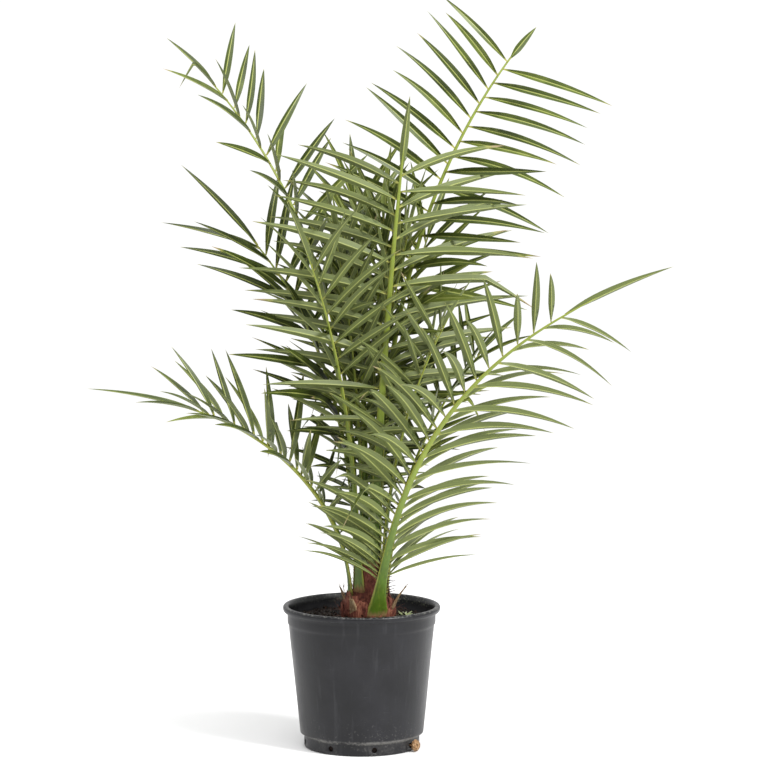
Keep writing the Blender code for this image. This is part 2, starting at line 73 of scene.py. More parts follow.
# %% The camera
LENS_LENGTH = 188.7
FILM_WIDTH = 36.0
CAMERA_PLACE = (0.028, -6.0, 1.25)
CAMERA_TARGET = (0.028, 0.0, 0.563)


def aim(thing, place, target):
    """Puts a camera or lamp in its place, turned to look at the target."""
    thing.location = place
    thing.rotation_euler = (Vector(target) - Vector(place)).to_track_quat("-Z", "Y").to_euler()


lens = bpy.data.cameras.new("camera")
lens.lens = LENS_LENGTH
lens.sensor_width = FILM_WIDTH
lens.clip_end = 60.0
camera = bpy.data.objects.new("camera", lens)
bpy.context.scene.collection.objects.link(camera)
aim(camera, CAMERA_PLACE, CAMERA_TARGET)
bpy.context.scene.camera = camera
bpy.context.scene.view_settings.view_transform = "Standard"
print("the camera stands", -CAMERA_PLACE[1], "m in front of the pot")


# %% The lamps and the white room
ROOM_GLOW = 0.86
WALL_GLOW = 1.05


def lamp(name, place, target, size, watts):
    """A square soft lamp that shines at the target."""
    light = bpy.data.lights.new(name, "AREA")
    light.size = size
    light.energy = watts
    made = bpy.data.objects.new(name, light)
    bpy.context.scene.collection.objects.link(made)
    aim(made, place, target)


lamp("key_lamp", (3.2, -2.6, 3.4), (0.0, 0.0, 0.45), 1.3, 270.0)
lamp("top_lamp", (-0.6, -1.4, 4.2), (0.0, 0.0, 0.3), 2.0, 75.0)
room = bpy.data.worlds.new("white_room")
room.use_nodes = True
wall = room.node_tree.nodes["Background"]
wall.inputs["Color"].default_value = (1.0, 1.0, 1.0, 1.0)
seen = room.node_tree.nodes.new("ShaderNodeLightPath").outputs["Is Camera Ray"]
strength = room.node_tree.nodes.new("ShaderNodeMapRange")
strength.inputs["To Min"].default_value = ROOM_GLOW
strength.inputs["To Max"].default_value = WALL_GLOW
room.node_tree.links.new(seen, strength.inputs["Value"])
room.node_tree.links.new(strength.outputs["Result"], wall.inputs["Strength"])
bpy.context.scene.world = room


# %% [markdown]
# ## Colours and shader maths
#
# Every finish here is worked out by nodes, with no pictures. Nodes are tedious to join by
# hand, so a small class stands for a socket and lets Python's own `+`, `*` and `-` join the
# Math nodes. A second class makes the material, and has one method for any other node.


# %% Colours by the numbers a colour picker shows
def shade(red, green, blue):
    """A colour given as 0 to 255, turned into the linear values that a shader takes."""
    linear = []
    for value in (red, green, blue):
        value /= 255.0
        linear.append(value / 12.92 if value <= 0.04045 else ((value + 0.055) / 1.055) ** 2.4)
    return (*linear, 1.0)


# %% A socket that can be calculated with
class Wire:
    """An output socket. Arithmetic on it adds Math nodes to its material."""

    def __init__(self, finish, socket):
        self.finish = finish
        self.socket = socket

    def also(self, output):
        """Another output of the same node."""
        return Wire(self.finish, self.socket.node.outputs[output])

    def __add__(self, other):
        return self.finish.maths("ADD", self, other)

    def __sub__(self, other):
        return self.finish.maths("SUBTRACT", self, other)

    def __rsub__(self, other):
        return self.finish.maths("SUBTRACT", other, self)

    def __mul__(self, other):
        return self.finish.maths("MULTIPLY", self, other)

    def __pow__(self, other):
        return self.finish.maths("POWER", self, other)

    def __abs__(self):
        return self.finish.maths("ABSOLUTE", self, 0.0)

    def __gt__(self, other):
        return self.finish.maths("GREATER_THAN", self, other)

    __radd__ = __add__
    __rmul__ = __mul__


# %% A material and its nodes
class Finish:
    """A material built around a Principled shader."""

    def __init__(self, name, **constants):
        self.material = bpy.data.materials.new(name)
        self.material.use_nodes = True
        self.tree = self.material.node_tree
        self.shader = self.tree.nodes["Principled BSDF"]
        for socket, value in constants.items():
            self.shader.inputs[socket.replace("_", " ")].default_value = value

    def feed(self, socket, value):
        """Sets a socket, or links it where the value is a Wire."""
        if isinstance(value, Wire):
            self.tree.links.new(value.socket, socket)
        else:
            socket.default_value = value

    def node(self, kind, settings=None, inputs=None, output=0):
        """Any node: its type, its settings, the values of its sockets, and the output wanted."""
        made = self.tree.nodes.new("ShaderNode" + kind)
        for name, value in (settings or {}).items():
            if name == "stops":
                ramp = made.color_ramp.elements
                while len(ramp) < len(value):
                    ramp.new(0.5)
                for element, (place, colour) in zip(ramp, value):
                    element.position = place
                    element.color = colour
            else:
                setattr(made, name, value)
        for key, value in (inputs or {}).items():
            self.feed(made.inputs[key], value)
        return Wire(self, made.outputs[output])

    def place(self):
        """Where a point is on its piece."""
        return self.node("TexCoord", output="Object")

    def carried(self, name):
        """A number that the mesh carries on its points."""
        return self.node("Attribute", {"attribute_name": name}, output="Fac")

    def maths(self, operation, first, second):
        """A Math node between two values."""
        return self.node("Math", {"operation": operation}, {0: first, 1: second})

    def mix(self, mask, first, second):
        """The first colour where the mask is 0, the second where it is 1."""
        return self.node("Mix", {"data_type": "RGBA"}, {0: mask, 6: first, 7: second}, 2)

    def rise(self, value, low, high):
        """0 below low, 1 above high, with a smooth step between them."""
        settings = {"interpolation_type": "SMOOTHSTEP"}
        return self.node("MapRange", settings, {0: value, 1: low, 2: high})

    def noise(self, place, scale, detail=3.0, rough=0.5):
        """Soft random cloud, about 0.5 on average."""
        inputs = {"Vector": place, "Scale": scale, "Detail": detail, "Roughness": rough}
        return self.node("TexNoise", None, inputs)

    def stretched(self, place, x, y, z):
        """The place with its axes scaled, so that a pattern on it is drawn out."""
        return self.node("Mapping", None, {"Vector": place, "Scale": (x, y, z)})

    def finish(self, colour, roughness, height=None, strength=0.3, depth=0.001):
        """Joins the colour, the roughness and the bump to the shader."""
        self.feed(self.shader.inputs["Base Color"], colour)
        self.feed(self.shader.inputs["Roughness"], roughness)
        if height is not None:
            inputs = {"Strength": strength, "Distance": depth, "Height": height}
            self.feed(self.shader.inputs["Normal"], self.node("Bump", None, inputs))
        return self.material


# %% The ground
GROUND_REACH = 2.0
GROUND_PALE = (0.95, 0.95, 0.95, 1.0)
GROUND_DIM = (0.93, 0.93, 0.93, 1.0)


def ground_finish():
    """Pale matt paint, very slightly uneven."""
    made = Finish("ground_paint")
    cloud = made.noise(made.place(), 1.5)
    return made.finish(made.mix(cloud, GROUND_DIM, GROUND_PALE), 0.9)


def make_ground():
    """A flat sheet that the pot stands on. It ends before it gets too far from the lamps."""
    bm = bmesh.new()
    bmesh.ops.create_grid(bm, x_segments=1, y_segments=1, size=GROUND_REACH)
    mesh = bpy.data.meshes.new("ground")
    bm.to_mesh(mesh)
    bm.free()
    mesh.materials.append(ground_finish())
    made = bpy.data.objects.new("ground", mesh)
    bpy.context.scene.collection.objects.link(made)


make_ground()


# %% [markdown]
# ## From a bmesh to a piece of the plant
#
# Each piece is built as a bmesh, in place, so its object stays at the origin. The plant has
# one body, so every piece rides on it. Where a piece stands for a solid of the frame, that
# solid is hidden.


# %% A piece of the plant
def piece_from(bm, name, materials, slot, *replaced):
    """Makes the bmesh a piece that rides on the plant's one body."""
    mesh = bpy.data.meshes.new(name)
    bm.to_mesh(mesh)
    bm.free()
    for material in materials:
        mesh.materials.append(material)
    made = bpy.data.objects.new(name, mesh)
    bpy.context.scene.collection.objects.link(made)
    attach(made, "root")
    if replaced:
        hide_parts(*replaced)
    print(name, "has", len(mesh.polygons), "faces")


def smooth(bm):
    """Shades every face smoothly, apart from the edges already marked sharp."""
    for face in bm.faces:
        face.smooth = True


def heading(azimuth):
    """The level direction of an azimuth in degrees, 0 along +X and 90 along +Y."""
    angle = math.radians(azimuth)
    return Vector((math.cos(angle), math.sin(angle), 0.0))


# %% A tube drawn out of a ring
def drawn_out(bm, rings):
    """A closed tube through rings of points. Returns its loops of vertices and its faces."""
    made = bmesh.ops.create_circle(bm, cap_ends=True, segments=len(rings[0]), radius=1.0)["verts"]
    cap = made[0].link_faces[0]
    order = [made.index(vertex) for vertex in cap.verts]
    mouth = cap.edges[:]
    loops = []
    for row, ring in enumerate(rings):
        if row:
            cap = bmesh.ops.extrude_discrete_faces(bm, faces=[cap])["faces"][0]
        loop = [None] * len(ring)
        for corner, vertex in zip(order, cap.verts):
            vertex.co = ring[corner]
            loop[corner] = vertex
        loops.append(loop)
    bmesh.ops.edgeloop_fill(bm, edges=mouth)
    faces = list({face for loop in loops for vertex in loop for face in vertex.link_faces})
    bmesh.ops.recalc_face_normals(bm, faces=faces)
    for face in faces:
        face.smooth = True
    return loops, faces


# %% [markdown]
# ## The pot
#
# A thin pot blown from black plastic that is mostly recycled, so it is really a dark grey.
# Its rim is rolled outwards to carry the pot, a wide collar below it stiffens the mouth, and
# the wall narrows down to a ledge and a smaller foot ring with drain holes in it.
# It could be a stack of cylinders, but a pot is a turned shape: its outline is drawn once, as
# a chain of edges, and spun about the axis. The holes are opened afterwards in the grid of
# faces that the spin leaves, by rounding a ring of eight vertices and bridging both walls.

# %% The pot's outline
POT_HEIGHT = 0.218
RIM_RADIUS = 0.120
COLLAR_RADIUS = 0.1130
SHOULDER_RADIUS = 0.1108
FOOT_RADIUS = 0.0942
RING_RADIUS = 0.0882
RING_HEIGHT = 0.019
LEDGE_HEIGHT = 0.0215
LIP_HEIGHT = 0.009
COLLAR_HEIGHT = 0.022
WALL = 0.0022
DRAIN_RADIUS = 0.0045
DRAIN_HEIGHT = 0.0095
DRAIN_HOLES = 8
FIRST_DRAIN = -32.0
ROUND_STEPS = 96


def between(low, high, steps):
    """Points evenly spaced from low to high, without the two ends."""
    return [
        tuple(a + (b - a) * step / steps for a, b in zip(low, high)) for step in range(1, steps)
    ]


def pot_outline():
    """Radii and heights from the middle of the inner floor, over the rim, to the underside."""
    collar_foot = POT_HEIGHT - LIP_HEIGHT - COLLAR_HEIGHT
    collar_top = POT_HEIGHT - LIP_HEIGHT
    inner_ring = RING_RADIUS - WALL
    hole_rows = [DRAIN_HEIGHT + DRAIN_RADIUS * step * 1.3 for step in (-1, 0, 1)]
    inside_foot = (FOOT_RADIUS - WALL, LEDGE_HEIGHT + 0.001)
    inside_top = (SHOULDER_RADIUS - WALL, collar_foot)
    points = [(0.0, WALL), (0.04, WALL), (inner_ring - 0.002, WALL)]
    points += [(inner_ring, z) for z in hole_rows]
    points += [(inner_ring, RING_HEIGHT), inside_foot]
    points += between(inside_foot, inside_top, 8)
    points += [
        inside_top,
        (COLLAR_RADIUS - WALL, collar_foot + 0.003),
        (COLLAR_RADIUS - WALL + 0.0003, collar_top),
        (COLLAR_RADIUS - WALL + 0.0012, POT_HEIGHT - 0.0016),
        (COLLAR_RADIUS + 0.0006, POT_HEIGHT - 0.0003),
        (RIM_RADIUS - 0.0036, POT_HEIGHT),
        (RIM_RADIUS - 0.0014, POT_HEIGHT - 0.0006),
        (RIM_RADIUS - 0.0002, POT_HEIGHT - 0.0024),
        (RIM_RADIUS, POT_HEIGHT - 0.0045),
        (RIM_RADIUS - 0.0004, POT_HEIGHT - 0.0068),
        (RIM_RADIUS - 0.0013, POT_HEIGHT - 0.0086),
        (RIM_RADIUS - 0.0030, POT_HEIGHT - LIP_HEIGHT),
        (COLLAR_RADIUS + 0.0012, collar_top + 0.0003),
        (COLLAR_RADIUS + 0.0001, collar_top - 0.0010),
        (COLLAR_RADIUS, collar_top - 0.006),
        (COLLAR_RADIUS - 0.0001, collar_foot + 0.0065),
        (COLLAR_RADIUS - 0.0005, collar_foot + 0.0040),
        (SHOULDER_RADIUS + 0.0007, collar_foot + 0.0022),
        (SHOULDER_RADIUS + 0.0001, collar_foot + 0.0004),
    ]
    outside_top = (SHOULDER_RADIUS - 0.0001, collar_foot - 0.002)
    outside_foot = (FOOT_RADIUS + 0.0001, LEDGE_HEIGHT + 0.0018)
    points += [outside_top]
    points += between(outside_top, outside_foot, 14)
    points += [
        outside_foot,
        (FOOT_RADIUS - 0.0004, LEDGE_HEIGHT + 0.0004),
        (FOOT_RADIUS - 0.0016, LEDGE_HEIGHT - 0.0004),
        (RING_RADIUS + 0.0010, RING_HEIGHT + 0.0006),
        (RING_RADIUS + 0.0001, RING_HEIGHT - 0.0008),
    ]
    points += [(RING_RADIUS, z) for z in reversed(hole_rows)]
    points += [
        (RING_RADIUS - 0.0003, 0.0018),
        (RING_RADIUS - 0.0010, 0.0005),
        (RING_RADIUS - 0.0030, 0.0),
        (RING_RADIUS - 0.0100, 0.0),
        (RING_RADIUS - 0.0120, 0.0010),
        (0.040, 0.0010),
        (0.0, 0.0010),
    ]
    return points


print("the pot's outline has", len(pot_outline()), "points")


# %% A turned shape
def spun(outline, steps, start=0.0):
    """A closed shape spun from (radius, height) points that begin and end on the axis."""
    bm = bmesh.new()
    first = heading(start)
    chain = [bm.verts.new(first * radius + Vector((0, 0, z))) for radius, z in outline]
    edges = [bm.edges.new(pair) for pair in zip(chain, chain[1:])]
    bmesh.ops.spin(
        bm,
        geom=chain + edges,
        cent=(0, 0, 0),
        axis=(0, 0, 1),
        angle=math.tau,
        steps=steps,
        use_merge=True,
    )
    bmesh.ops.remove_doubles(bm, verts=bm.verts, dist=0.00005)
    bmesh.ops.recalc_face_normals(bm, faces=bm.faces)
    return bm


# %% Drain holes in the foot ring
def open_hole(bm, azimuth):
    """Opens a round hole through both walls of the foot ring at that azimuth."""
    out = heading(azimuth)
    side = Vector((-out.y, out.x, 0.0))
    loops = []
    for radius in (RING_RADIUS, RING_RADIUS - WALL):
        middle = out * radius + Vector((0, 0, DRAIN_HEIGHT))
        hub = min(bm.verts, key=lambda vertex: (vertex.co - middle).length)
        ring = {vertex for face in hub.link_faces for vertex in face.verts} - {hub}
        for vertex in ring:
            offset = vertex.co - hub.co
            flat = Vector((offset.dot(side), offset.z)).normalized() * DRAIN_RADIUS
            vertex.co = middle + side * flat.x + Vector((0, 0, flat.y))
        loops += [edge for face in hub.link_faces for edge in face.edges if hub not in edge.verts]
        bmesh.ops.delete(bm, geom=[hub], context="VERTS")
    bmesh.ops.bridge_loops(bm, edges=loops)


# %% The pot's plastic
def pot_finish():
    """Dark grey plastic: faint streaks down the wall, the lighter ones a painted sheen, a flecked
    painted highlight along the rim, scuffs, dust on the ledge, lime inside.
    """
    made = Finish("black_plastic", Specular_IOR_Level=0.32)
    place = made.place()
    x = made.node("SeparateXYZ", None, {0: place})
    z = x.also("Z")
    radius = (x * x + x.also("Y") * x.also("Y")) ** 0.5
    streaks = made.noise(made.stretched(place, 90, 90, 6), 1.0, 4.0, 0.6)
    cloud = made.noise(place, 14, 4.0, 0.6)
    grain = made.noise(place, 900, 2.0, 0.7)
    scratch = made.noise(made.stretched(place, 40, 40, 700), 1.0, 3.0, 0.7)
    fleck = made.noise(place, 260, 3.0, 0.7)

    base = made.mix(made.rise(cloud, 0.35, 0.7), shade(13, 13, 17), shade(27, 27, 31))
    # Lighter vertical streaks down the wall: a painted sheen. Darker streaks lie between them.
    base = made.mix(made.rise(streaks, 0.54, 0.74) * 0.25, base, shade(62, 62, 65))
    base = made.mix(made.rise(streaks, 0.47, 0.30) * 0.40, base, shade(20, 20, 22))
    worn = made.rise(scratch, 0.64, 0.74) * made.rise(cloud, 0.48, 0.62)
    base = made.mix(worn * 0.30, base, shade(84, 84, 86))

    low = made.rise(z, 0.085, 0.020)
    splash = made.rise(fleck + low * 0.10 + cloud * 0.25, 0.80, 0.92) * low
    base = made.mix(splash * 0.25, base, shade(120, 118, 114))
    ledge = made.rise(abs(z - 0.0205), 0.0042, 0.0006)
    dust = ledge * made.rise(cloud * 0.6 + fleck * 0.5, 0.44, 0.62)
    base = made.mix(dust * 0.55, base, shade(150, 148, 143))
    foot = made.rise(z, 0.020, 0.014) * made.rise(cloud + fleck * 0.4, 0.62, 0.86)
    base = made.mix(foot * 0.20, base, shade(104, 102, 98))

    inside = made.rise(radius - z * 0.105, 0.0898, 0.0888) * made.rise(z, 0.17, 0.185)
    lime = inside * made.rise(fleck * 0.7 + cloud * 0.5, 0.60, 0.72)
    base = made.mix(lime * 0.65, base, shade(136, 140, 118))
    # A paler flecked band along the top of the rolled rim: a painted highlight.
    rim_highlight = made.rise(z, 0.2148, 0.2176) * made.rise(fleck, 0.50, 0.62)
    base = made.mix(rim_highlight * 0.5, base, shade(128, 127, 122))

    dusty = dust + splash * 0.7 + lime * 0.8 + foot * 0.4
    roughness = 0.27 + made.rise(cloud, 0.3, 0.7) * 0.12 + streaks * 0.08 + dusty * 0.3
    height = grain * 0.25 + streaks * 0.6 + cloud * 1.2 + scratch * 0.15
    return made.finish(base, roughness, height, 0.22, 0.0012)


# %% Make the pot
def warp(bm, reach, scale, seed):
    """Moves every vertex a little in or out by soft noise, so that nothing is quite true."""
    for vertex in bm.verts:
        flat = Vector((vertex.co.x, vertex.co.y, 0.0))
        if flat.length > 0.001:
            shift = noise.noise(vertex.co * scale + Vector((seed, seed, seed)))
            vertex.co += flat.normalized() * shift * reach


def make_pot():
    """The pot as one turned piece with its drain holes open."""
    bm = spun(pot_outline(), ROUND_STEPS, FIRST_DRAIN)
    for hole in range(DRAIN_HOLES):
        open_hole(bm, FIRST_DRAIN + hole * 360.0 / DRAIN_HOLES)
    bmesh.ops.recalc_face_normals(bm, faces=bm.faces)
    warp(bm, 0.0006, 9.0, 4.0)
    smooth(bm)
    piece_from(bm, "nursery_pot", [pot_finish()], "pot", "pot")


make_pot()


# %% [markdown]
# ## The soil
#
# Peat mix settles a couple of centimetres below the rim and dries into a dark crumbly crust.
# A flat disc would look like a lid. The soil is a turned block that fills the pot, with its
# top broken into a fine grid and lifted by noise, and loose crumbs, bits of bark and pale
# grains lie on it. The crumbs are a few faces each, because there are hundreds.

# %% The soil's finish
SOIL_Z = 0.197
CROWN_X = 0.010
GAP = 0.0004
CRUMBS = 620
CRUMBS_REACH = 0.104


def soil_finish():
    """Nearly black peat with brown fibres, some moss bloom and pale mineral specks."""
    made = Finish("peat", Specular_IOR_Level=0.25)
    place = made.place()
    cloud = made.noise(place, 45, 5.0, 0.65)
    fleck = made.noise(place, 420, 2.0, 0.6)
    fibre = made.noise(made.stretched(place, 600, 90, 90), 1.0, 2.0, 0.6)
    base = made.mix(made.rise(cloud, 0.35, 0.65), shade(14, 9, 7), shade(34, 23, 17))
    base = made.mix(made.rise(fibre, 0.62, 0.70) * 0.6, base, shade(78, 50, 34))
    base = made.mix(made.rise(fleck, 0.68, 0.72), base, shade(168, 160, 146))
    base = made.mix(made.rise(cloud, 0.60, 0.72) * 0.35, base, shade(66, 70, 36))
    return made.finish(base, 0.88, cloud + fleck * 0.5, 0.7, 0.003)


# %% The block of soil
def soil_outline():
    """The soil's outline: down the inside of the pot from the middle of its top."""
    inner_ring = RING_RADIUS - WALL - GAP
    top_radius = SHOULDER_RADIUS - WALL - GAP - 0.0003
    rings = [(top_radius * share, SOIL_Z) for share in (0.0, 0.25, 0.4, 0.5, 0.6)]
    rings += [(top_radius * share, SOIL_Z) for share in (0.68, 0.76, 0.84, 0.91, 0.97)]
    return rings + [
        (top_radius, SOIL_Z - 0.003),
        (top_radius - 0.0014, SOIL_Z - 0.020),
        (FOOT_RADIUS - WALL - GAP, LEDGE_HEIGHT + 0.001 + GAP),
        (inner_ring, RING_HEIGHT),
        (inner_ring, WALL + 0.001),
        (0.0, WALL + 0.001),
    ]


def soil_height(x, y):
    """How far the crust stands above or below its level at a point."""
    broad = noise.noise(Vector((x * 22, y * 22, 1.7)))
    fine = noise.noise(Vector((x * 110, y * 110, 5.1)))
    heap = 0.006 * math.exp(-(((x - CROWN_X) ** 2 + y * y) / 0.0030))
    return 0.0022 * broad + 0.0014 * fine + heap


# %% Crumbs and bark
def add_crumb(bm, chance, place, size):
    """A small broken lump: a cube with its corners pushed about."""
    made = bmesh.ops.create_cube(bm, size=1.0)["verts"]
    stretch = Vector((chance.uniform(0.5, 1.5), chance.uniform(0.5, 1.2), chance.uniform(0.4, 0.9)))
    turn = Matrix.Rotation(chance.uniform(0, math.tau), 3, Vector((chance.random(), 1, 0.4)))
    for vertex in made:
        push = Vector([chance.uniform(-0.22, 0.22) for _ in range(3)])
        vertex.co = place + turn @ ((vertex.co + push) * stretch) * size


def make_soil():
    """The block of soil with its rough top and everything loose that lies on it."""
    bm = spun(soil_outline(), 48)
    top = [face for face in bm.faces if face.normal.z > 0.9 and face.calc_center_median().z > 0.19]
    edges = list({edge for face in top for edge in face.edges})
    bmesh.ops.subdivide_edges(bm, edges=edges, cuts=1, use_grid_fill=True)
    for vertex in bm.verts:
        if vertex.co.z > SOIL_Z - 0.001:
            vertex.co.z += soil_height(vertex.co.x, vertex.co.y)
    smooth(bm)
    chance = random.Random("crumbs")
    for _ in range(CRUMBS):
        radius = CRUMBS_REACH * math.sqrt(chance.uniform(0.10, 1.0))
        spot = heading(chance.uniform(0, 360)) * radius
        size = 0.0012 + 0.0042 * chance.random() ** 3
        level = SOIL_Z + soil_height(spot.x, spot.y) + size * 0.2
        add_crumb(bm, chance, Vector((spot.x, spot.y, level)), size)
    piece_from(bm, "soil_crust", [soil_finish()], "soil", "root_ball")


make_soil()


# %% [markdown]
# ## How a frond grows
#
# A date palm's fronds are feather shaped. A stalk leaves the crown nearly upright and arches
# over under its own weight; past its bare foot it carries two rows of leaflets, which stand
# in two planes on each side, so the frond looks bushy and not combed flat. Placing some four
# hundred leaflets by hand would be hopeless, and scattering them would put them through each
# other. So each frond is a short row of numbers and a growth rule: the stalk is walked out
# step by step, and each leaflet takes the nearest place to the one it wishes for where it
# touches nothing. The solids were grown by the same rule, so every leaf here stands where a
# leaf of theirs does.

# %% The numbers of every frond
CROWN_RISE = 0.125
CROWN_DEPTH = 0.045
CROWN_OUTLINE = (
    (CROWN_RISE, 0.0),
    (0.116, 0.0085),
    (0.090, 0.0165),
    (0.060, 0.0235),
    (0.036, 0.0285),
    (0.026, 0.0360),
    (0.012, 0.0405),
    (0.000, 0.0405),
    (-0.020, 0.0340),
    (-CROWN_DEPTH, 0.0180),
)


@dataclass
class Frond:
    """One pinnate leaf: where it leaves the crown, how it rises and arches, its leaflets.

    A spear or a stub is the same thing with no leaflets, and a stub has no tip either.
    """

    name: str
    azimuth: float
    height: float
    rise: float
    droop: float
    length: float
    girth: float
    reach: float = 0.0
    bend: float = 1.3
    sweep: float = 0.0
    pairs: int = 0
    opening: float = 82.0
    fall: float = 38.0
    lift: float = 30.0
    bare: float = 0.24
    crowd: float = 1.0
    first: float = 0.34
    last: float = 0.84
    turn: float = 0.0
    flare: float = 0.7
    tip: float = 0.13


FRONDS = [
    Frond("frond_front_low", 292, 0.010, 73, 30, 0.60, 0.0140, 0.185, sweep=60, pairs=30,
          opening=56, fall=0, bare=0.10, crowd=1.75, first=0.9, last=0.64, lift=10, turn=-55,
          flare=1.7, tip=0.180),
    Frond("frond_left_low", 188, 0.033, 92, 18, 0.40, 0.0145, 0.160, 0.8, pairs=18, opening=72,
          fall=30, turn=-20, tip=0.170),
    Frond("frond_front_high", 296, 0.085, 84, 77, 0.61, 0.0165, 0.225, 1.2, pairs=19, opening=86,
          fall=14, lift=20, turn=-28, flare=0.2),
    Frond("frond_left_high", 170, 0.075, 90, 48, 0.79, 0.0120, 0.160, 1.5, pairs=21, turn=-25,
          flare=0.2, tip=0.105),
    Frond("frond_right_high", 22, 0.075, 90, 51, 0.82, 0.0125, 0.190, 1.5, pairs=24, opening=80,
          fall=8, lift=14, turn=80, flare=0.2, tip=0.070),
    Frond("frond_left_mid", 132, 0.045, 87, 47, 0.56, 0.0110, 0.200, 1.4, sweep=24, pairs=16,
          turn=-35, tip=0.190),
    Frond("frond_right_mid", 332, 0.045, 87, 62, 0.42, 0.0105, 0.165, sweep=10, pairs=15, tip=0.1),
    Frond("frond_front_left", 234, 0.045, 88, 62, 0.52, 0.0105, 0.170, pairs=16),
    Frond("frond_back_right", 62, 0.040, 86, 54, 0.56, 0.0110, 0.180, pairs=17, turn=25),
    Frond("frond_right_inner", 12, 0.033, 84, 48, 0.40, 0.0105, 0.155, pairs=14, turn=30, tip=0.1),
    Frond("frond_back_low", 108, 0.012, 82, 46, 0.46, 0.0110, 0.170, pairs=14),
    Frond("frond_back_high", 100, 0.076, 88, 66, 0.56, 0.0105, 0.175, 1.8, pairs=17, opening=62,
          fall=26, flare=0.2),
    Frond("frond_heart", 60, 0.106, 90, 80, 0.50, 0.0080, 0.180, pairs=16, opening=50, fall=20,
          flare=0.1),
    Frond("frond_heart_left", 216, 0.098, 90, 78, 0.46, 0.0085, 0.170, pairs=15, opening=50,
          fall=20, flare=0.1),
    Frond("frond_heart_right", 344, 0.104, 90, 76, 0.48, 0.0085, 0.175, pairs=15, opening=52,
          fall=20, flare=0.1),
]

SPEAR = Frond("spear_leaf", 150, 0.112, 90, 87, 0.40, 0.0075, bare=0.1, flare=0.0, tip=0.06)

STUBS = [
    Frond("stub_left", 180, 0.004, 88, 84, 0.048, 0.0065, bare=0.3, flare=0.1, tip=0.0),
    Frond("stub_front_left", 236, 0.006, 74, 62, 0.034, 0.0130, bare=0.3, flare=0.6, tip=0.0),
    Frond("stub_front_right", 346, 0.010, 70, 44, 0.050, 0.0110, bare=0.3, flare=0.5, tip=0.0),
    Frond("stub_back_right", 60, 0.004, 72, 54, 0.038, 0.0110, bare=0.3, flare=0.3, tip=0.0),
    Frond("stub_back_left", 150, 0.004, 76, 60, 0.044, 0.0110, bare=0.3, flare=0.2, tip=0.0),
]


# %% The stalk, walked out step by step
WALK_STEPS = 160
PETIOLE_RINGS = 4
PLAIN_RINGS = 6
TIP_GIRTH_SHARE = 0.24
DEPTH_SHARE = 0.72
SECTION_CORNERS = ((0.0, 1.0), (0.95, 0.10), (0.55, -0.85), (-0.55, -0.85), (-0.95, 0.10))
FLARE_WIDTH = 0.016
FLARE_REACH = 0.035
NECK_SHARE = 0.35
NECK_DROP = 0.014


def crown_radius(height):
    """The crown's radius at a height above the soil, read along its outline."""
    for (upper, small), (lower, large) in zip(CROWN_OUTLINE, CROWN_OUTLINE[1:]):
        if height >= lower:
            share = (upper - height) / (upper - lower)
            return small + (large - small) * share
    return CROWN_OUTLINE[-1][1]


@dataclass
class Station:
    """A place along a frond: its middle, its directions and the size of its section."""

    centre: Vector
    along: Vector
    side: Vector
    up: Vector
    width: float
    depth: float


def frond_directions(frond, share):
    """The frond's along, side and up directions at a share of its length."""
    elevation = math.radians(frond.rise + (frond.droop - frond.rise) * share**frond.bend)
    out = heading(frond.azimuth + frond.sweep * share)
    along = out * math.cos(elevation) + Vector((0, 0, math.sin(elevation)))
    up = Vector((0, 0, math.cos(elevation))) - out * math.sin(elevation)
    side = along.cross(up)
    roll = Matrix.Rotation(math.radians(frond.turn * share), 3, along)
    return along, roll @ side, roll @ up


def frond_path(frond):
    """Points down the middle of the frond, evenly spaced from the crown to the tip."""
    out = heading(frond.azimuth)
    start = Vector((CROWN_X, 0.0, SOIL_Z + frond.height))
    point = start + out * 0.85 * crown_radius(frond.height)
    points = [point]
    for step in range(WALK_STEPS):
        along, _, _ = frond_directions(frond, (step + 0.5) / WALK_STEPS)
        point = point + along * frond.length / WALK_STEPS
        points.append(point)
    return points


def frond_section(frond, share):
    """The width and depth of the petiole and rachis at a share of the frond's length."""
    taper = frond.girth * (TIP_GIRTH_SHARE + (1.0 - TIP_GIRTH_SHARE) * (1.0 - share))
    swell = FLARE_WIDTH * frond.flare * math.exp(-share * frond.length / FLARE_REACH)
    return taper + swell, DEPTH_SHARE * taper + 0.25 * swell


def station_at(frond, path, share):
    """The frond's station at a share of its length."""
    place = share * WALK_STEPS
    before = min(int(place), WALK_STEPS - 1)
    centre = path[before].lerp(path[before + 1], place - before)
    return Station(centre, *frond_directions(frond, share), *frond_section(frond, share))


def neck_station(frond):
    """The thin start of the petiole, inside the crown, which the crown then cuts off."""
    centre = Vector((CROWN_X, 0.0, SOIL_Z + frond.height - NECK_DROP))
    centre += heading(frond.azimuth) * 0.35 * crown_radius(frond.height)
    width, depth = frond_section(frond, 0.0)
    directions = frond_directions(frond, 0.0)
    return Station(centre, *directions, NECK_SHARE * width, NECK_SHARE * depth)


def leafy_share(frond, band):
    """How far along the leafy part a leaflet stands; the first ones may crowd together."""
    return ((band + 0.5) / (2 * frond.pairs)) ** frond.crowd


def frond_stations(frond):
    """The rings of the frond, and the places between the leafy ones where leaflets start."""
    path = frond_path(frond)
    rings = [neck_station(frond)]
    for ring in range(PETIOLE_RINGS):
        rings.append(station_at(frond, path, frond.bare * (ring / PETIOLE_RINGS) ** 1.4))
    bands = 2 * frond.pairs or PLAIN_RINGS
    leafy = 1.0 - frond.bare
    for ring in range(bands + 1):
        rings.append(station_at(frond, path, frond.bare + leafy * (ring / bands) ** frond.crowd))
    places = []
    for band in range(2 * frond.pairs):
        places.append(station_at(frond, path, frond.bare + leafy * leafy_share(frond, band)))
    return rings, places


# %% What each leaflet wishes for
BLADE_WIDTH_SHARE = 0.056
BLADE_LEAST_WIDTH = 0.0040
BLADE_THICKNESS = 0.0011
BLADE_WIDEST = 0.36
BLADE_FOLD = 0.35
BLADE_SAG = 0.10
CLEARANCE = 0.0006
FREE_START = 0.15

ANGLE_JITTER = 6.0
LIFT_SPREAD = 14.0
LIFT_JITTER = 10.0
LENGTH_JITTER = 0.07


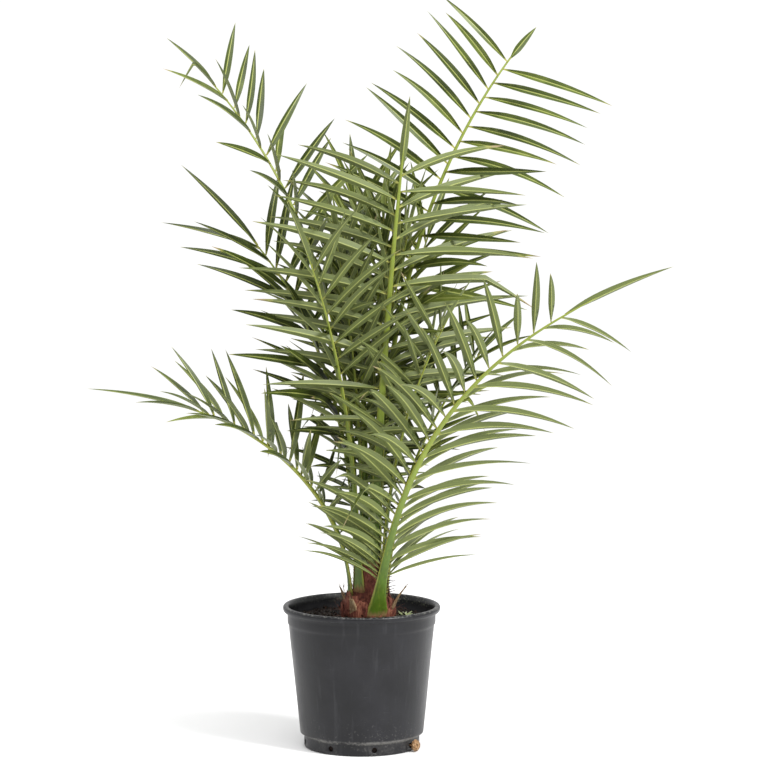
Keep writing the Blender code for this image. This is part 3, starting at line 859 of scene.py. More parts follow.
@dataclass
class Leaflet:
    """A blade: where it starts, which way it points, its flat direction, and its size."""

    base: Vector
    along: Vector
    across: Vector
    up: Vector
    length: float
    width: float


def leaflet_length_share(frond, share):
    """Short leaflets at the foot of the leafy part, the longest ones near its middle."""
    if share < 0.40:
        eased = share / 0.40
        return frond.first + (1.0 - frond.first) * eased * eased * (3.0 - 2.0 * eased)
    return 1.0 - (1.0 - frond.last) * ((share - 0.40) / 0.60) ** 2


def leaflet_room(frond, share):
    """The widest that a leaflet may be for how crowded it stands."""
    spacing = frond.length * (1.0 - frond.bare) / frond.pairs
    return 0.0025 + 0.75 * spacing * frond.crowd * share ** (1.0 - 1.0 / frond.crowd)


def leaflet_wish(frond, share, plane, chance):
    """The angles and length that a leaflet would take with nothing in its way."""
    angle = frond.opening - frond.fall * share + chance.uniform(-1, 1) * ANGLE_JITTER
    lift = frond.lift + plane * LIFT_SPREAD + chance.uniform(-1, 1) * LIFT_JITTER
    stretch = 1.0 + chance.uniform(-1, 1) * LENGTH_JITTER
    return angle, lift, frond.reach * leaflet_length_share(frond, share) * stretch


def leaflet_at(place, right, angle, lift, length, room):
    """The leaflet that stands at those angles to the rachis."""
    side = place.side if right else -place.side
    angle, lift = math.radians(angle), math.radians(lift)
    away = side * math.cos(lift) + place.up * math.sin(lift)
    along = place.along * math.cos(angle) + away * math.sin(angle)
    up = place.up - side * 0.25
    up = (up - along * up.dot(along)).normalized()
    across = along.cross(up)
    if across.dot(place.along) < 0:
        across = -across
    base = place.centre + side * place.width * 0.36 + place.up * place.depth * 0.2
    width = max(BLADE_LEAST_WIDTH, min(BLADE_WIDTH_SHARE * length, room))
    return Leaflet(base, along, across, up, length, width)


# %% The plain blade that stands for a leaflet while it looks for room
def blade_section(leaflet, extra=0.0):
    """The folded section at the blade's widest place: near edge, keel, far edge, crease."""
    sag = Vector((0, 0, -BLADE_SAG * leaflet.length * BLADE_WIDEST**2))
    middle = leaflet.base + leaflet.along * leaflet.length * BLADE_WIDEST + sag
    half = leaflet.across * (leaflet.width / 2 + extra)
    fold = leaflet.up * (leaflet.width / 2) * BLADE_FOLD
    thick = leaflet.up * (BLADE_THICKNESS / 2 + extra)
    return middle - half + fold, middle - thick, middle + half + fold, middle + thick


def blade_tip(leaflet):
    """The point of the blade, which hangs a little."""
    sag = Vector((0, 0, -BLADE_SAG * leaflet.length))
    return leaflet.base + leaflet.along * leaflet.length + sag


def rachis_section(station, extra=0.0):
    """The rachis's five corners, seen from its tip: ridge on top, flat beneath."""
    half = station.width / 2 + extra
    deep = station.depth / 2 + extra
    return [
        station.centre + station.side * half * across + station.up * deep * height
        for across, height in SECTION_CORNERS
    ]


def tree_of(points, faces):
    """A search tree of a closed shape, with the low and high corners of its box."""
    low = [min(point[axis] for point in points) for axis in range(3)]
    high = [max(point[axis] for point in points) for axis in range(3)]
    return BVHTree.FromPolygons([tuple(point) for point in points], faces), low, high


def blade_tree(corners, leaflet, start):
    """A search tree of the blade from a share of the way to its widest place onwards."""
    widest = blade_section(leaflet, CLEARANCE)
    points = [corner.lerp(wide, start) for corner, wide in zip(corners, widest)]
    points += widest
    points.append(blade_tip(leaflet) + leaflet.along * CLEARANCE)
    faces = []
    for corner in range(4):
        after = (corner + 1) % 4
        faces.append((corner, after, 4 + after, 4 + corner))
        faces.append((4 + corner, 4 + after, 8))
    return tree_of(points, faces)


def tip_station(frond, rings):
    """The flat, widest place of the blade that ends the frond."""
    last = rings[-1]
    centre = last.centre + last.along * frond.tip * BLADE_WIDEST
    width = min(0.010, 0.09 * frond.tip + last.width)
    return Station(centre, last.along, last.side, last.up, width, 0.0016)


def loft_tree(stations):
    """A search tree through the sections of some stations, a little thicker than they are."""
    points, faces = [], []
    for station in stations:
        points += rachis_section(station, CLEARANCE)
    for ring in range(len(stations) - 1):
        first = 5 * ring
        for corner in range(5):
            after = (corner + 1) % 5
            faces.append((first + corner, first + after, first + 5 + after, first + 5 + corner))
    return tree_of(points, faces)


def ending_stations(frond, rings):
    """The two stations of the blade that ends the frond: its widest place and its point."""
    if not frond.tip:
        return []
    wide = tip_station(frond, rings)
    point = rings[-1].centre + rings[-1].along * frond.tip
    return [wide, Station(point, wide.along, wide.side, wide.up, 0.0004, 0.0004)]


def clear_of(found, others):
    """Whether a shape touches none of the others."""
    tree, low, high = found
    for other, other_low, other_high in others:
        if low[0] > other_high[0] or other_low[0] > high[0]:
            continue
        if low[1] > other_high[1] or other_low[1] > high[1]:
            continue
        if low[2] > other_high[2] or other_low[2] > high[2]:
            continue
        if tree.overlap(other):
            return False
    return True


SHIFTS = sorted(
    [(swing, raised) for swing in range(-16, 17, 4) for raised in range(-30, 31, 6)],
    key=lambda shift: (shift[0] ** 2 + 0.5 * shift[1] ** 2, shift),
)
SHORTENINGS = (1.0, 0.85, 0.70, 0.52, 0.36)


def face_corners(before, after, right, extra=0.0):
    """The corners of the rachis's upper side face that a leaflet is drawn out of."""
    low, high = rachis_section(before, extra), rachis_section(after, extra)
    corner = 1 if right else 4
    return low[0], low[corner], high[corner], high[0]


def place_leaflet(frond, rings, place, band, chance, own, foreign):
    """The leaflet nearest to its wish that touches nothing, with its two search trees.

    The blades of one frond meet at its rachis, so among them only the outer part counts.
    """
    share = leafy_share(frond, band)
    room = leaflet_room(frond, share)
    right = band % 2 == 0
    plane = 1 if band % 4 < 2 else -1
    corners = face_corners(rings[0], rings[1], right, CLEARANCE)
    angle, lift, length = leaflet_wish(frond, share, plane, chance)
    for shorter in SHORTENINGS:
        for swing, raised in SHIFTS:
            turned_to = angle + swing, lift + raised
            leaflet = leaflet_at(place, right, *turned_to, length * shorter, room)
            outer = blade_tree(corners, leaflet, FREE_START)
            whole = blade_tree(corners, leaflet, 0.0)
            if clear_of(outer, own) and clear_of(whole, foreign):
                return leaflet, outer, whole
    return None, None, None


def grow(fronds, others):
    """The rings of every frond and its leaflets, placed in turn so that none touch."""
    stations, stems, leaflets, blades = {}, {}, {}, []
    for frond in fronds + others:
        stations[frond.name] = frond_stations(frond)
        rings = stations[frond.name][0]
        stems[frond.name] = loft_tree(rings + ending_stations(frond, rings))
    for frond in fronds:
        chance = random.Random(frond.name)
        rings, places = stations[frond.name]
        own = [loft_tree(ending_stations(frond, rings))]
        foreign = [tree for name, tree in stems.items() if name != frond.name] + blades
        leaflets[frond.name] = []
        for band, place in enumerate(places):
            ends = rings[1 + PETIOLE_RINGS + band : 3 + PETIOLE_RINGS + band]
            leaflet, outer, whole = place_leaflet(frond, ends, place, band, chance, own, foreign)
            leaflets[frond.name].append(leaflet)
            if leaflet:
                own.append(outer)
                blades.append(whole)
    return stations, stems, leaflets


PATHS = {frond.name: frond_path(frond) for frond in FRONDS + [SPEAR] + STUBS}
STATIONS, _, LEAFLETS = grow(FRONDS, [SPEAR] + STUBS)
grown = sum(leaflet is not None for row in LEAFLETS.values() for leaflet in row)
print(len(FRONDS), "fronds carry", grown, "leaflets")


# %% [markdown]
# ## The leaf colours
#
# A leaflet's upper side is a dull olive green with a waxy sheen, its underside a paler grey
# green. A light midrib runs down the fold, fine veins run beside it, the joint at its foot is
# yellow, and the point dries out to straw. The pattern has to follow each blade however it
# turns, so it reads a map on the blade: across it in u, along it in v, and the underside four
# units further along u. Each leaflet also carries two numbers, its tone and its dryness. A
# frond's tone holds painted shade and light: it is darker on fronds in shade, lighter on lit ones.


# %% The leaf's skin
def leaf_finish(name, dark, middle, light, under):
    """Leaf skin between three greens by tone, with midrib, veins, joint and dry point."""
    made = Finish(name, Specular_IOR_Level=0.42)
    spot = made.node("UVMap", {"uv_map": "blade"})
    u = made.node("SeparateXYZ", None, {0: spot})
    v = u.also("Y")
    below = u > 2.0
    across = u - below * 4.0
    tone = made.carried("tone")
    dry = made.carried("dry")
    place = made.place()
    cloud = made.noise(place, 30, 4.0, 0.6)
    threads = made.node("CombineXYZ", None, {0: across * 9.0 + tone * 40.0, 1: v * 1.2})
    vein = made.noise(threads, 1.0, 3.0, 0.75)

    stops = [(0.0, dark), (0.5, middle), (1.0, light)]
    toned = tone * 0.75 + cloud * 0.5 - 0.12
    top = made.node("ValToRGB", {"stops": stops}, {0: toned})
    top = made.mix(made.rise(vein, 0.50, 0.72) * 0.60, top, light)
    top = made.mix(made.rise(vein, 0.48, 0.30) * 0.60, top, dark)
    low = made.mix(made.rise(vein, 0.50, 0.72) * 0.50, under, light)
    low = made.mix(made.rise(vein, 0.48, 0.30) * 0.55, low, middle)
    skin = made.mix(below, top, low)

    rib = made.rise(abs(across), 0.20, 0.05) * made.rise(v, 0.98, 0.75)
    skin = made.mix(rib * (0.65 - below * 0.10), skin, shade(178, 184, 104))
    edge = made.rise(abs(across), 0.90, 1.0) * made.rise(vein + tone, 0.7, 1.3)
    skin = made.mix(edge * 0.60, skin, shade(156, 160, 96))
    joint = made.rise(v, 0.055, 0.012)
    skin = made.mix(joint * 0.85, skin, shade(178, 176, 88))
    reach = v + dry * 0.30 + (vein - 0.5) * 0.05 + abs(across) * 0.015
    tip = made.rise(reach, 1.00, 1.07)
    skin = made.mix(tip, skin, made.mix(vein, shade(116, 98, 70), shade(176, 160, 126)))
    ring = made.rise(reach, 0.965, 1.00) * (1.0 - tip)
    skin = made.mix(ring * 0.4, skin, shade(168, 160, 84))

    roughness = 0.38 + below * 0.08 + cloud * 0.12 + tip * 0.3 - rib * 0.05
    height = vein * 0.6 + rib * 0.8 + cloud * 0.2
    return made.finish(skin, roughness, height, 0.25, 0.0006)


# %% The stalk's skin
def stalk_finish(name, green, pale):
    """Smooth green stalk: pale along its edges, striped lengthwise, browner at its foot."""
    made = Finish(name, Specular_IOR_Level=0.5)
    edge = made.carried("edge")
    share = made.carried("share")
    foot = made.carried("foot")
    place = made.place()
    cloud = made.noise(place, 55, 4.0, 0.6)
    stripe = made.noise(made.stretched(place, 320, 320, 14), 1.0, 3.0, 0.6)
    fleck = made.noise(place, 380, 2.0, 0.6)
    base = made.mix(made.rise(cloud, 0.3, 0.7), green, shade(76, 104, 20))
    base = made.mix(made.rise(stripe, 0.54, 0.72) * 0.25, base, pale)
    base = made.mix(made.rise(share, 0.14, 0.50) * 0.50, base, pale)
    margin = made.rise(edge + stripe * 0.12, 0.84, 1.0)
    base = made.mix(margin * 0.70, base, shade(160, 162, 66))
    base = made.mix(made.rise(fleck, 0.66, 0.74) * 0.3, base, shade(120, 104, 64))
    fibrous = made.rise(foot + stripe * 0.35 - cloud * 0.2, 0.72, 1.02)
    base = made.mix(fibrous * 0.85, base, made.mix(stripe, shade(92, 58, 38), shade(150, 112, 74)))
    roughness = 0.38 + cloud * 0.14 + fibrous * 0.35
    return made.finish(base, roughness, stripe * 0.8 + cloud * 0.3, 0.25, 0.0008)


# %% [markdown]
# ## One blade for every leaflet
#
# Close up, a leaflet is a long blade folded along its midrib into a shallow trough: nearly
# closed at its foot, open past the middle, and drawn out to a fine point. It could be a flat
# strip, but an edge-on strip vanishes and can't be printed. One closed pattern blade, four
# sides around and a dozen rings long, is drawn out of a square and kept; each leaflet copies
# it and moves its points to where it grew, with its own twist, bow and, on a few, a break.
# It is drawn somewhat wider than the plain blades that looked for room.

# %% The pattern blade
BLADE_RINGS = 12
BLADE_FULLNESS = 1.42


def pattern_blade():
    """A closed blade on plain coordinates: x across, y through it, z from foot to point."""
    bm = bmesh.new()
    square = [Vector((1, 0, 0)), Vector((0, 1, 0)), Vector((-1, 0, 0)), Vector((0, -1, 0))]
    heights = [(ring / BLADE_RINGS) ** 1.15 for ring in range(BLADE_RINGS)]
    loops, _ = drawn_out(bm, [[spot + Vector((0, 0, z)) for spot in square] for z in heights])
    cap = next(face for face in loops[-1][0].link_faces if set(face.verts) == set(loops[-1]))
    point = bmesh.ops.poke(bm, faces=[cap])["verts"][0]
    point.co = (0.0, 0.0, 1.0)
    across = bm.loops.layers.uv.new("blade")
    for face in bm.faces:
        face.smooth = True
        below = 4.0 if face.calc_center_median().y < 0 else 0.0
        for loop in face.loops:
            loop[across].uv = (loop.vert.co.x + below, loop.vert.co.z)
    for edge in bm.edges:
        first, second = edge.verts
        edge.smooth = first.co.z == second.co.z
    mesh = bpy.data.meshes.new("pattern_blade")
    bm.to_mesh(mesh)
    bm.free()
    print("the pattern blade has", len(mesh.polygons), "faces")
    return mesh


PATTERN = pattern_blade()


# %% How a blade is shaped
FOLD_AT_FOOT = 64.0
FOLD_OPEN = 33.0
BLADE_THIN = 0.00050


@dataclass
class Habit:
    """A leaflet's own ways: twist, bow, extra sag, where and how it breaks, and breadth."""

    twist: float = 0.0
    bow: float = 0.0
    sag: float = 0.0
    break_at: float = 2.0
    drop: float = 0.0
    breadth: float = 1.0


def blade_half_width(share):
    """Half the blade's width at a share of its length, with 1 at its widest."""
    foot = 0.34 + 0.66 * math.sin(min(share / 0.30, 1.0) * math.pi / 2)
    past = max(0.0, (share - BLADE_WIDEST) / (1.0 - BLADE_WIDEST))
    return foot * (1.0 - past**1.6)


def blade_fold(share):
    """The angle of each half of the blade, from nearly closed at its foot to open."""
    if share < BLADE_WIDEST:
        opened = math.sin(share / BLADE_WIDEST * math.pi / 2)
        return math.radians(FOLD_AT_FOOT - (FOLD_AT_FOOT - FOLD_OPEN) * opened)
    return math.radians(FOLD_OPEN - 16.0 * (share - BLADE_WIDEST))


def blade_spot(leaflet, habit, spot):
    """Where a point of the pattern blade lies on a leaflet."""
    share = spot.z
    turn = habit.twist * share
    hand = 1.0 if leaflet.across.cross(leaflet.up).dot(leaflet.along) > 0 else -1.0
    out = (leaflet.across * math.cos(turn) + leaflet.up * math.sin(turn)) * hand
    up = leaflet.up * math.cos(turn) - leaflet.across * math.sin(turn)
    half = 0.5 * BLADE_FULLNESS * habit.breadth * leaflet.width * blade_half_width(share)
    fold = blade_fold(share)
    thick = BLADE_THIN * (1.0 - 0.7 * share) * (1.6 if share == 0 else 1.0)
    centre = leaflet.base + leaflet.along * leaflet.length * share
    centre.z -= leaflet.length * (BLADE_SAG * share**2 + habit.sag * share**2.4)
    centre += leaflet.across * habit.bow * leaflet.length * math.sin(math.pi * share)
    past = share - habit.break_at
    if past > 0:
        fallen = leaflet.along * math.cos(habit.drop) - Vector((0, 0, math.sin(habit.drop)))
        centre += (fallen - leaflet.along) * past * leaflet.length
    reach = abs(spot.x) * half
    rise = reach * math.sin(fold) + spot.y * thick
    return centre + out * spot.x * half * math.cos(fold) + up * rise


# %% Add a leaflet to a frond
def add_blade(bm, leaflet, habit, tone, dry):
    """Copies the pattern blade into the frond and moves it to where the leaflet grew."""
    first = len(bm.verts)
    bm.from_mesh(PATTERN)
    bm.verts.ensure_lookup_table()
    tones, dryness = bm.verts.layers.float["tone"], bm.verts.layers.float["dry"]
    for vertex in bm.verts[first:]:
        vertex.co = blade_spot(leaflet, habit, vertex.co.copy())
        vertex[tones] = tone
        vertex[dryness] = dry


# %% [markdown]
# ## The stalks
#
# At its foot a stalk is broad and channelled, with thin edges that fray into the crown's
# fibre. Higher up it narrows to a ridged rib with the leaflets on its two upper sides. It is
# drawn out of a twelve-sided ring, like dough through a die: the cap is extruded to the next
# station of the walk and its corners are put on that station's section.

# %% The stalk's section
STALK_CORNERS = 12


def stalk_corner(corner, ridged):
    """A corner of the section in half widths: channelled on top, or ridged."""
    angle = math.tau * corner / STALK_CORNERS
    side, height = math.cos(angle), math.sin(angle)
    wide = math.copysign(abs(side) ** 0.75, side) * 0.97
    if height < 0:
        return wide, -0.86 * abs(height) ** 0.85
    channelled = 0.18 * math.sqrt(height) * (1.0 - 0.8 * height**4) + 0.10 * (1.0 - height)
    ridge = 0.95 * height**1.5
    return wide, channelled + (ridge - channelled) * ridged


def stalk_ring(station, ridged):
    """The corners of a stalk's section at a station."""
    half, deep = station.width / 2, station.depth / 2
    ring = []
    for corner in range(STALK_CORNERS):
        wide, high = stalk_corner(corner, ridged)
        ring.append(station.centre + station.side * half * wide + station.up * deep * high)
    return ring


# %% Draw a stalk out of a ring
def draw_stalk(bm, rings, shares, foot_share):
    """A closed stalk through the rings, which notes on each point its share and its edge."""
    edges = bm.verts.layers.float["edge"]
    along, feet = bm.verts.layers.float["share"], bm.verts.layers.float["foot"]
    loops, faces = drawn_out(bm, rings)
    for loop, share in zip(loops, shares):
        for corner, vertex in enumerate(loop):
            vertex[edges] = abs(math.cos(math.tau * corner / STALK_CORNERS))
            vertex[along] = share
            vertex[feet] = math.exp(-max(share, 0.0) / foot_share)
    for face in faces:
        face.material_index = 1


# %% Make one frond
PETIOLE_STEPS = 10
PLAIN_BANDS = 8
FOOT_LENGTH = 0.030
BROKEN_SHARE = 0.05
TWIST_SPREAD = 14.0
BOW_SPREAD = 0.010
SAG_SPREAD = 0.025
DRY_SPREAD = 0.16
TONE_SPREAD = 0.16
STALK_POINT = ((0.10, 0.75), (0.22, 0.42), (0.34, 0.10))


def frond_layers(bm):
    """The numbers that a frond's points carry, and the map on its blades."""
    for name in ("tone", "dry", "edge", "share", "foot"):
        bm.verts.layers.float.new(name)
    bm.loops.layers.uv.new("blade")


def stalk_stations(frond):
    """The stalk's stations from inside the crown to its end, with each one's share."""
    path = PATHS[frond.name]
    shares = [frond.bare * (step / PETIOLE_STEPS) ** 1.3 for step in range(PETIOLE_STEPS)]
    bands = 2 * frond.pairs or PLAIN_BANDS
    shares += [frond.bare + (1.0 - frond.bare) * band / bands for band in range(bands + 1)]
    stations = [neck_station(frond)] + [station_at(frond, path, share) for share in shares]
    return stations, [-0.05] + shares


def make_frond(frond, finishes, tone):
    """A frond's stalk and all its leaflets as one piece, which stands for its solid."""
    chance = random.Random(frond.name + " looks")
    bm = bmesh.new()
    frond_layers(bm)
    stations, shares = stalk_stations(frond)
    rings = []
    for station, share in zip(stations, shares):
        ridged = min(max((share / frond.bare - 0.4) / 0.6, 0.0), 1.0)
        rings.append(stalk_ring(station, ridged))
    last = stations[-1]
    for step, narrow in STALK_POINT:
        centre = last.centre + last.along * frond.tip * step
        width, depth = last.width * narrow, last.depth * narrow
        rings.append(stalk_ring(Station(centre, last.along, last.side, last.up, width, depth), 1))
        shares.append(1.0)
    draw_stalk(bm, rings, shares, FOOT_LENGTH / frond.length)
    for leaflet in LEAFLETS[frond.name]:
        if leaflet is None:
            continue
        broken = chance.random() < BROKEN_SHARE
        habit = Habit(
            math.radians(chance.gauss(0, TWIST_SPREAD)),
            chance.gauss(0, BOW_SPREAD),
            abs(chance.gauss(0, SAG_SPREAD)) + SAGS.get(frond.name, 0.0),
            chance.uniform(0.45, 0.8) if broken else 2.0,
            math.radians(chance.uniform(25, 70)),
            BREADTHS.get(frond.name, 1.0),
        )
        dry = abs(chance.gauss(0, DRY_SPREAD)) + (0.3 if broken else 0.0)
        add_blade(bm, leaflet, habit, tone + chance.gauss(0, TONE_SPREAD), dry)
    wide = tip_station(frond, STATIONS[frond.name][0])
    end = Leaflet(last.centre, last.along, last.side, last.up, frond.tip / 0.985, wide.width)
    add_blade(bm, end, Habit(), tone, 0.1)
    piece_from(bm, frond.name + "_leaf", finishes, "leaf", frond.name)


# %% Make the fronds
LEAF = leaf_finish(
    "leaf_skin",
    shade(24, 34, 6),
    shade(58, 72, 14),
    shade(140, 152, 66),
    shade(88, 98, 50),
)
STALK = stalk_finish("stalk_skin", shade(66, 88, 10), shade(150, 160, 56))
SAGS = {"frond_front_low": 0.10}
BREADTHS = {
    "frond_front_low": 1.20,
    "frond_left_low": 1.30,
    "frond_left_high": 1.30,
    "frond_left_mid": 1.15,
}
# Each frond's base tone is painted shade and light: lower on fronds that hang in shade, higher on
# lit ones. Each leaflet's own tone varies at random around it.
LIT_AND_SHADED_TONES = {
    "frond_front_low": 0.22,
    "frond_front_high": 0.62,
    "frond_left_high": 0.36,
    "frond_left_mid": 0.22,
    "frond_heart": 0.7,
    "frond_back_low": 0.35,
}
for frond in FRONDS:
    make_frond(frond, [LEAF, STALK], LIT_AND_SHADED_TONES.get(frond.name, 0.5))


# %% [markdown]
# ## The spear
#
# The youngest leaf stands in the middle, still folded: a tall fluted spindle of unopened
# leaflets. A smooth cone would look like a stake. It is drawn like a stalk, but its corners
# stand in and out by turns and wind slowly round it, which gives the pleats.


# %% Make the spear
def make_spear():
    """The folded youngest leaf as one fluted piece."""
    bm = bmesh.new()
    frond_layers(bm)
    stations, shares = stalk_stations(SPEAR)
    last = stations[-1]
    rings = []
    for station, share in zip(stations, shares):
        swell = 1.0 + 0.25 * math.sin(math.pi * min(max(share, 0.0), 1.0))
        ring = []
        for corner in range(STALK_CORNERS):
            angle = math.tau * corner / STALK_CORNERS + 1.2 * share
            pleat = swell * (0.92 if corner % 2 else 0.66)
            wide = station.side * math.cos(angle) * station.width
            deep = station.up * math.sin(angle) * station.depth
            ring.append(station.centre + (wide + deep) * 0.5 * pleat)
        rings.append(ring)
    middle = last.centre + last.along * SPEAR.tip * 0.9
    rings.append([middle + (point - last.centre) * 0.08 for point in rings[-1]])
    draw_stalk(bm, rings, shares + [1.0], FOOT_LENGTH / SPEAR.length)
    piece_from(bm, "spear", [LEAF, STALK], "young_leaf", SPEAR.name)


make_spear()


# %% [markdown]
# ## The crown
#
# Below the fronds sits a short stump of old leaf bases wrapped in brown fibre, the matting
# that once sheathed each leaf. It is built in layers as it grew: a lumpy core, some two dozen
# ragged leaf bases laid over it like scales, and a few hundred loose fibres, each a thin
# three-sided tube. Hair curves would be easier, but they aren't solid and wouldn't export.


# %% The fibre's finish
def fibre_finish(name, dark, middle, pale):
    """Dry fibre, streaked upwards between three browns."""
    made = Finish(name, Specular_IOR_Level=0.3)
    place = made.place()
    cloud = made.noise(place, 70, 4.0, 0.6)
    streak = made.noise(made.stretched(place, 420, 420, 40), 1.0, 4.0, 0.7)
    stops = [(0.30, dark), (0.52, middle), (0.74, pale)]
    base = made.node("ValToRGB", {"stops": stops}, {0: streak * 0.65 + cloud * 0.4})
    return made.finish(base, 0.8, streak + cloud * 0.5, 0.6, 0.0015)


FIBRE = fibre_finish("brown_fibre", shade(40, 16, 12), shade(98, 48, 36), shade(160, 112, 84))


# %% A thin strand
def strand(bm, points, radius, tip=0.25):
    """A closed three-sided tube through the points, which thins towards its end."""
    ways = [after - before for before, after in zip(points, points[1:])]
    ways.append(ways[-1])
    rings = []
    for row, (point, way) in enumerate(zip(points, ways)):
        side = way.orthogonal().normalized()
        other = way.normalized().cross(side)
        thin = radius * (1.0 - (1.0 - tip) * row / (len(points) - 1))
        angles = [math.tau * corner / 3 for corner in range(3)]
        rings.append([point + (side * math.cos(a) + other * math.sin(a)) * thin for a in angles])
    return drawn_out(bm, rings)


def wander(chance, start, way, length, steps, curl):
    """Points that set off along a way and drift, as a loose fibre does."""
    points, way = [start], way.normalized()
    for _ in range(steps):
        drift = Vector([chance.gauss(0, curl) for _ in range(3)])
        way = (way + drift).normalized()
        points.append(points[-1] + way * length / steps)
    return points


# %% The core of the crown
def crown_spot(azimuth, height, out=0.0):
    """A point on the crown's side."""
    middle = Vector((CROWN_X, 0.0, SOIL_Z + height))
    return middle + heading(azimuth) * (crown_radius(height) + out)


def add_core(bm):
    """The lumpy core, a little inside the crown's outline."""
    outline = [(0.0, CROWN_RISE * 0.97)]
    for (upper, small), (lower, large) in zip(CROWN_OUTLINE, CROWN_OUTLINE[1:]):
        for step in (0.5, 1.0):
            radius = small + (large - small) * step
            outline.append((radius * 0.93, (upper + (lower - upper) * step)))
    outline.append((0.0, -CROWN_DEPTH))
    core = spun(outline, 32)
    for vertex in core.verts:
        vertex.co += Vector((CROWN_X, 0.0, SOIL_Z))
        lump = noise.noise(vertex.co * 90) * 0.0022 + noise.noise(vertex.co * 260) * 0.0010
        vertex.co += Vector((vertex.co.x - CROWN_X, vertex.co.y, 0)).normalized() * lump
    mesh = bpy.data.meshes.new("core")
    core.to_mesh(mesh)
    core.free()
    bm.from_mesh(mesh)


# %% Old leaf bases
def add_scale(bm, chance, azimuth, height, width, tall, lean):
    """A ragged leaf base: a strip that hugs the crown and stands off at its torn top."""
    made = bmesh.ops.create_grid(bm, x_segments=5, y_segments=6, size=0.5)["verts"]
    ragged = [chance.uniform(-0.16, 0.10) for _ in range(6)]
    faces = list({face for vertex in made for face in vertex.link_faces})
    for vertex in made:
        across, up = vertex.co.x, vertex.co.y + 0.5
        torn = ragged[round((across + 0.5) * 5)] * up
        narrow = 1.0 - 0.45 * up
        z = height + tall * (up + torn)
        turn = math.degrees(across * width * narrow / 0.040)
        stand = 0.0012 + lean * up**1.6 - 0.004 * (2 * across) ** 2 * (1 - up)
        vertex.co = crown_spot(azimuth + turn, z, stand + chance.gauss(0, 0.0002))
    bmesh.ops.recalc_face_normals(bm, faces=faces)
    bmesh.ops.solidify(bm, geom=faces, thickness=0.0013)


# %% Make the crown
SPINES = 6
SCALES = 26
LOOSE_FIBRES = 260
GOLDEN_ANGLE = 137.5


def add_spines(bm, chance):
    """Stiff dark spines that stick out to the right, the first leaflets of a lost frond."""
    for spine in range(SPINES):
        start = Vector((0.036, -0.018 - 0.002 * spine, SOIL_Z + 0.040 + 0.0055 * spine))
        way = Vector((1.0, chance.uniform(-0.5, 0.1), chance.uniform(0.0, 0.55)))
        points = wander(chance, start, way, chance.uniform(0.017, 0.024), 3, 0.08)
        _, faces = strand(bm, points, 0.0011, 0.12)
        for face in faces:
            face.material_index = 1


def make_crown():
    """The crown as one piece: its core, spines, leaf bases and loose fibres."""
    chance = random.Random("crown")
    bm = bmesh.new()
    add_core(bm)
    add_spines(bm, chance)
    for scale in range(SCALES):
        azimuth = scale * GOLDEN_ANGLE
        height = -0.006 + 0.0011 * scale
        add_scale(bm, chance, azimuth, height, 0.030, chance.uniform(0.020, 0.034), 0.004)
    for _ in range(LOOSE_FIBRES):
        azimuth, height = chance.uniform(0, 360), 0.085 * chance.random() ** 1.7
        start = crown_spot(azimuth, height, -0.0008)
        way = heading(azimuth) * 0.35 + Vector((0, 0, 1.0))
        length = chance.uniform(0.012, 0.034)
        strand(bm, wander(chance, start, way, length, 5, 0.28), chance.uniform(0.00018, 0.0004))
    smooth(bm)
    spine = fibre_finish("spine_skin", shade(24, 16, 18), shade(60, 38, 40), shade(120, 84, 70))
    piece_from(bm, "crown_fibres", [FIBRE, spine], "crown_fibre", "crown")


make_crown()


# %% [markdown]
# ## A weed in the soil
#
# Weeds settle in every nursery pot. This one is a small pale tuft to the right of the crown.
# It is too small to need a shape of its own: its leaves are the pattern blade again, shrunk
# and set out in a rosette by the golden angle, which is how many plants space their leaves.

# %% Make the weed
WEED_LEAVES = 22


def make_weed():
    """A tuft of small leaves around one point in the soil."""
    chance = random.Random("weed")
    bm = bmesh.new()
    frond_layers(bm)
    foot = Vector((0.064, 0.006, SOIL_Z + 0.001))
    for number in range(WEED_LEAVES):
        out = heading(number * GOLDEN_ANGLE)
        along = (out + Vector((0, 0, chance.uniform(0.5, 1.4)))).normalized()
        across = Vector((-out.y, out.x, 0.0))
        start = foot + out * chance.uniform(0.0, 0.007)
        length = chance.uniform(0.009, 0.019)
        leaf = Leaflet(start, along, across, across.cross(along), length, 0.0042)
        add_blade(bm, leaf, Habit(sag=0.2), chance.uniform(0.2, 0.9), 0.1)
    skin = leaf_finish(
        "weed_skin",
        shade(70, 82, 50),
        shade(112, 126, 84),
        shade(158, 168, 128),
        shade(128, 138, 104),
    )
    piece_from(bm, "weed", [skin], "leaf")


make_weed()


# %% [markdown]
# ## Cut stubs
#
# Where the oldest fronds were pruned, short dry stubs are left round the crown. Each is a
# stalk that stops early: the same section, a sunken cut face at the top, and a dried skin.

# %% Make the stubs
DRY = fibre_finish("dry_stub_skin", shade(70, 52, 36), shade(132, 108, 78), shade(186, 168, 136))


def make_stub(frond):
    """A pruned stalk with a sunken cut face and a few fibres standing out of it."""
    chance = random.Random(frond.name + " looks")
    bm = bmesh.new()
    frond_layers(bm)
    stations, shares = stalk_stations(frond)
    rings = [stalk_ring(station, 0.15) for station in stations]
    last = stations[-1]
    ragged = [last.along * chance.uniform(-0.004, 0.0) for _ in range(STALK_CORNERS)]
    rings[-1] = [point + shift for point, shift in zip(rings[-1], ragged)]
    middle = last.centre - last.along * 0.003
    rings.append([middle + (point - last.centre) * 0.62 for point in rings[-1]])
    draw_stalk(bm, rings, shares + [1.0], 1.0)
    for face in bm.faces:
        face.material_index = 0
    for _ in range(7):
        start = last.centre + last.side * chance.uniform(-0.4, 0.4) * last.width
        points = wander(chance, start - last.along * 0.006, last.along, 0.012, 3, 0.2)
        strand(bm, points, 0.00035)
    piece_from(bm, frond.name + "_dry", [DRY], "dry_stub", frond.name)


for stub in STUBS:
    make_stub(stub)


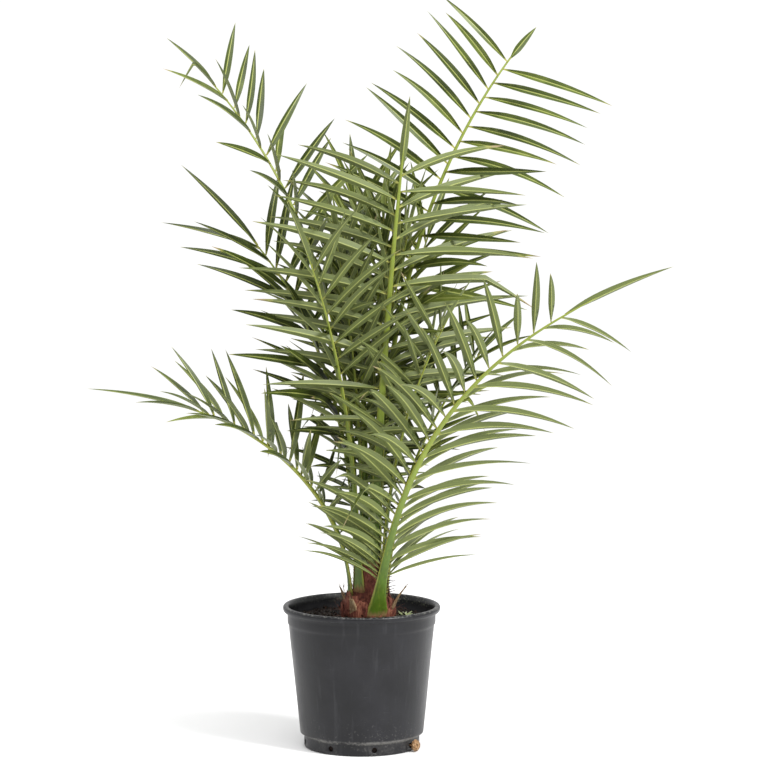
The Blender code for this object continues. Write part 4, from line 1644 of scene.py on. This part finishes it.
# %% [markdown]
# ## Roots at the drain hole
#
# A plant that has stood long in its pot pushes roots out through a drain hole, and they mat
# against the foot. A ball would look like a stopper, so it is a small lumpy heart with some
# dozens of roots wound over it, and a short neck of roots that leads back into the hole.


# %% Make the root tuft
WOUND_ROOTS = 70
NECK_ROOTS = 9


def make_roots():
    """A lumpy heart wound with roots, and the neck of roots that joins it to the hole."""
    chance = random.Random("roots looks")
    bm = bmesh.new()
    low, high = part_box("root_tuft")
    out = heading(FIRST_DRAIN)
    side = Vector((-out.y, out.x, 0.0))
    centre = out * (RING_RADIUS + 0.0086) + Vector((0, 0, 0.5 * (low.z + high.z)))
    size = Vector((0.0058, 0.0064, 0.0082))
    heart = bmesh.ops.create_icosphere(bm, subdivisions=3, radius=1.0)["verts"]
    for vertex in heart:
        lump = 1.0 + 0.22 * noise.noise(vertex.co * 2.6)
        spot = vertex.co * lump
        vertex.co = centre + out * spot.x * size.x + side * spot.y * size.y
        vertex.co.z += spot.z * size.z
    for _ in range(WOUND_ROOTS):
        tilt = Matrix.Rotation(chance.uniform(0, math.tau), 3, "X")
        turn = Matrix.Rotation(chance.gauss(0, 0.6), 3, "Z") @ tilt
        start, span = chance.uniform(0, math.tau), chance.uniform(0.8, 2.6)
        points = []
        for step in range(8):
            angle = start + span * step / 7
            spot = turn @ Vector((math.cos(angle), math.sin(angle), 0.0)) * 1.08
            point = centre + out * spot.x * size.x + side * spot.y * size.y
            point.z = max(point.z + spot.z * size.z, low.z + 0.0005)
            points.append(point)
        strand(bm, points, chance.uniform(0.00035, 0.0008), 0.5)
    for _ in range(NECK_ROOTS):
        inner = out * (RING_RADIUS - 0.003) + Vector((0, 0, DRAIN_HEIGHT))
        shift = side * chance.uniform(-0.002, 0.002) + Vector((0, 0, chance.uniform(-0.002, 0.002)))
        points = [inner + shift, inner + shift + out * 0.004, centre + shift * 1.6]
        strand(bm, points, 0.0009, 0.8)
    smooth(bm)
    skin = fibre_finish("root_skin", shade(92, 62, 40), shade(160, 124, 88), shade(206, 180, 144))
    piece_from(bm, "root_mat", [skin], "roots", "root_tuft")


make_roots()
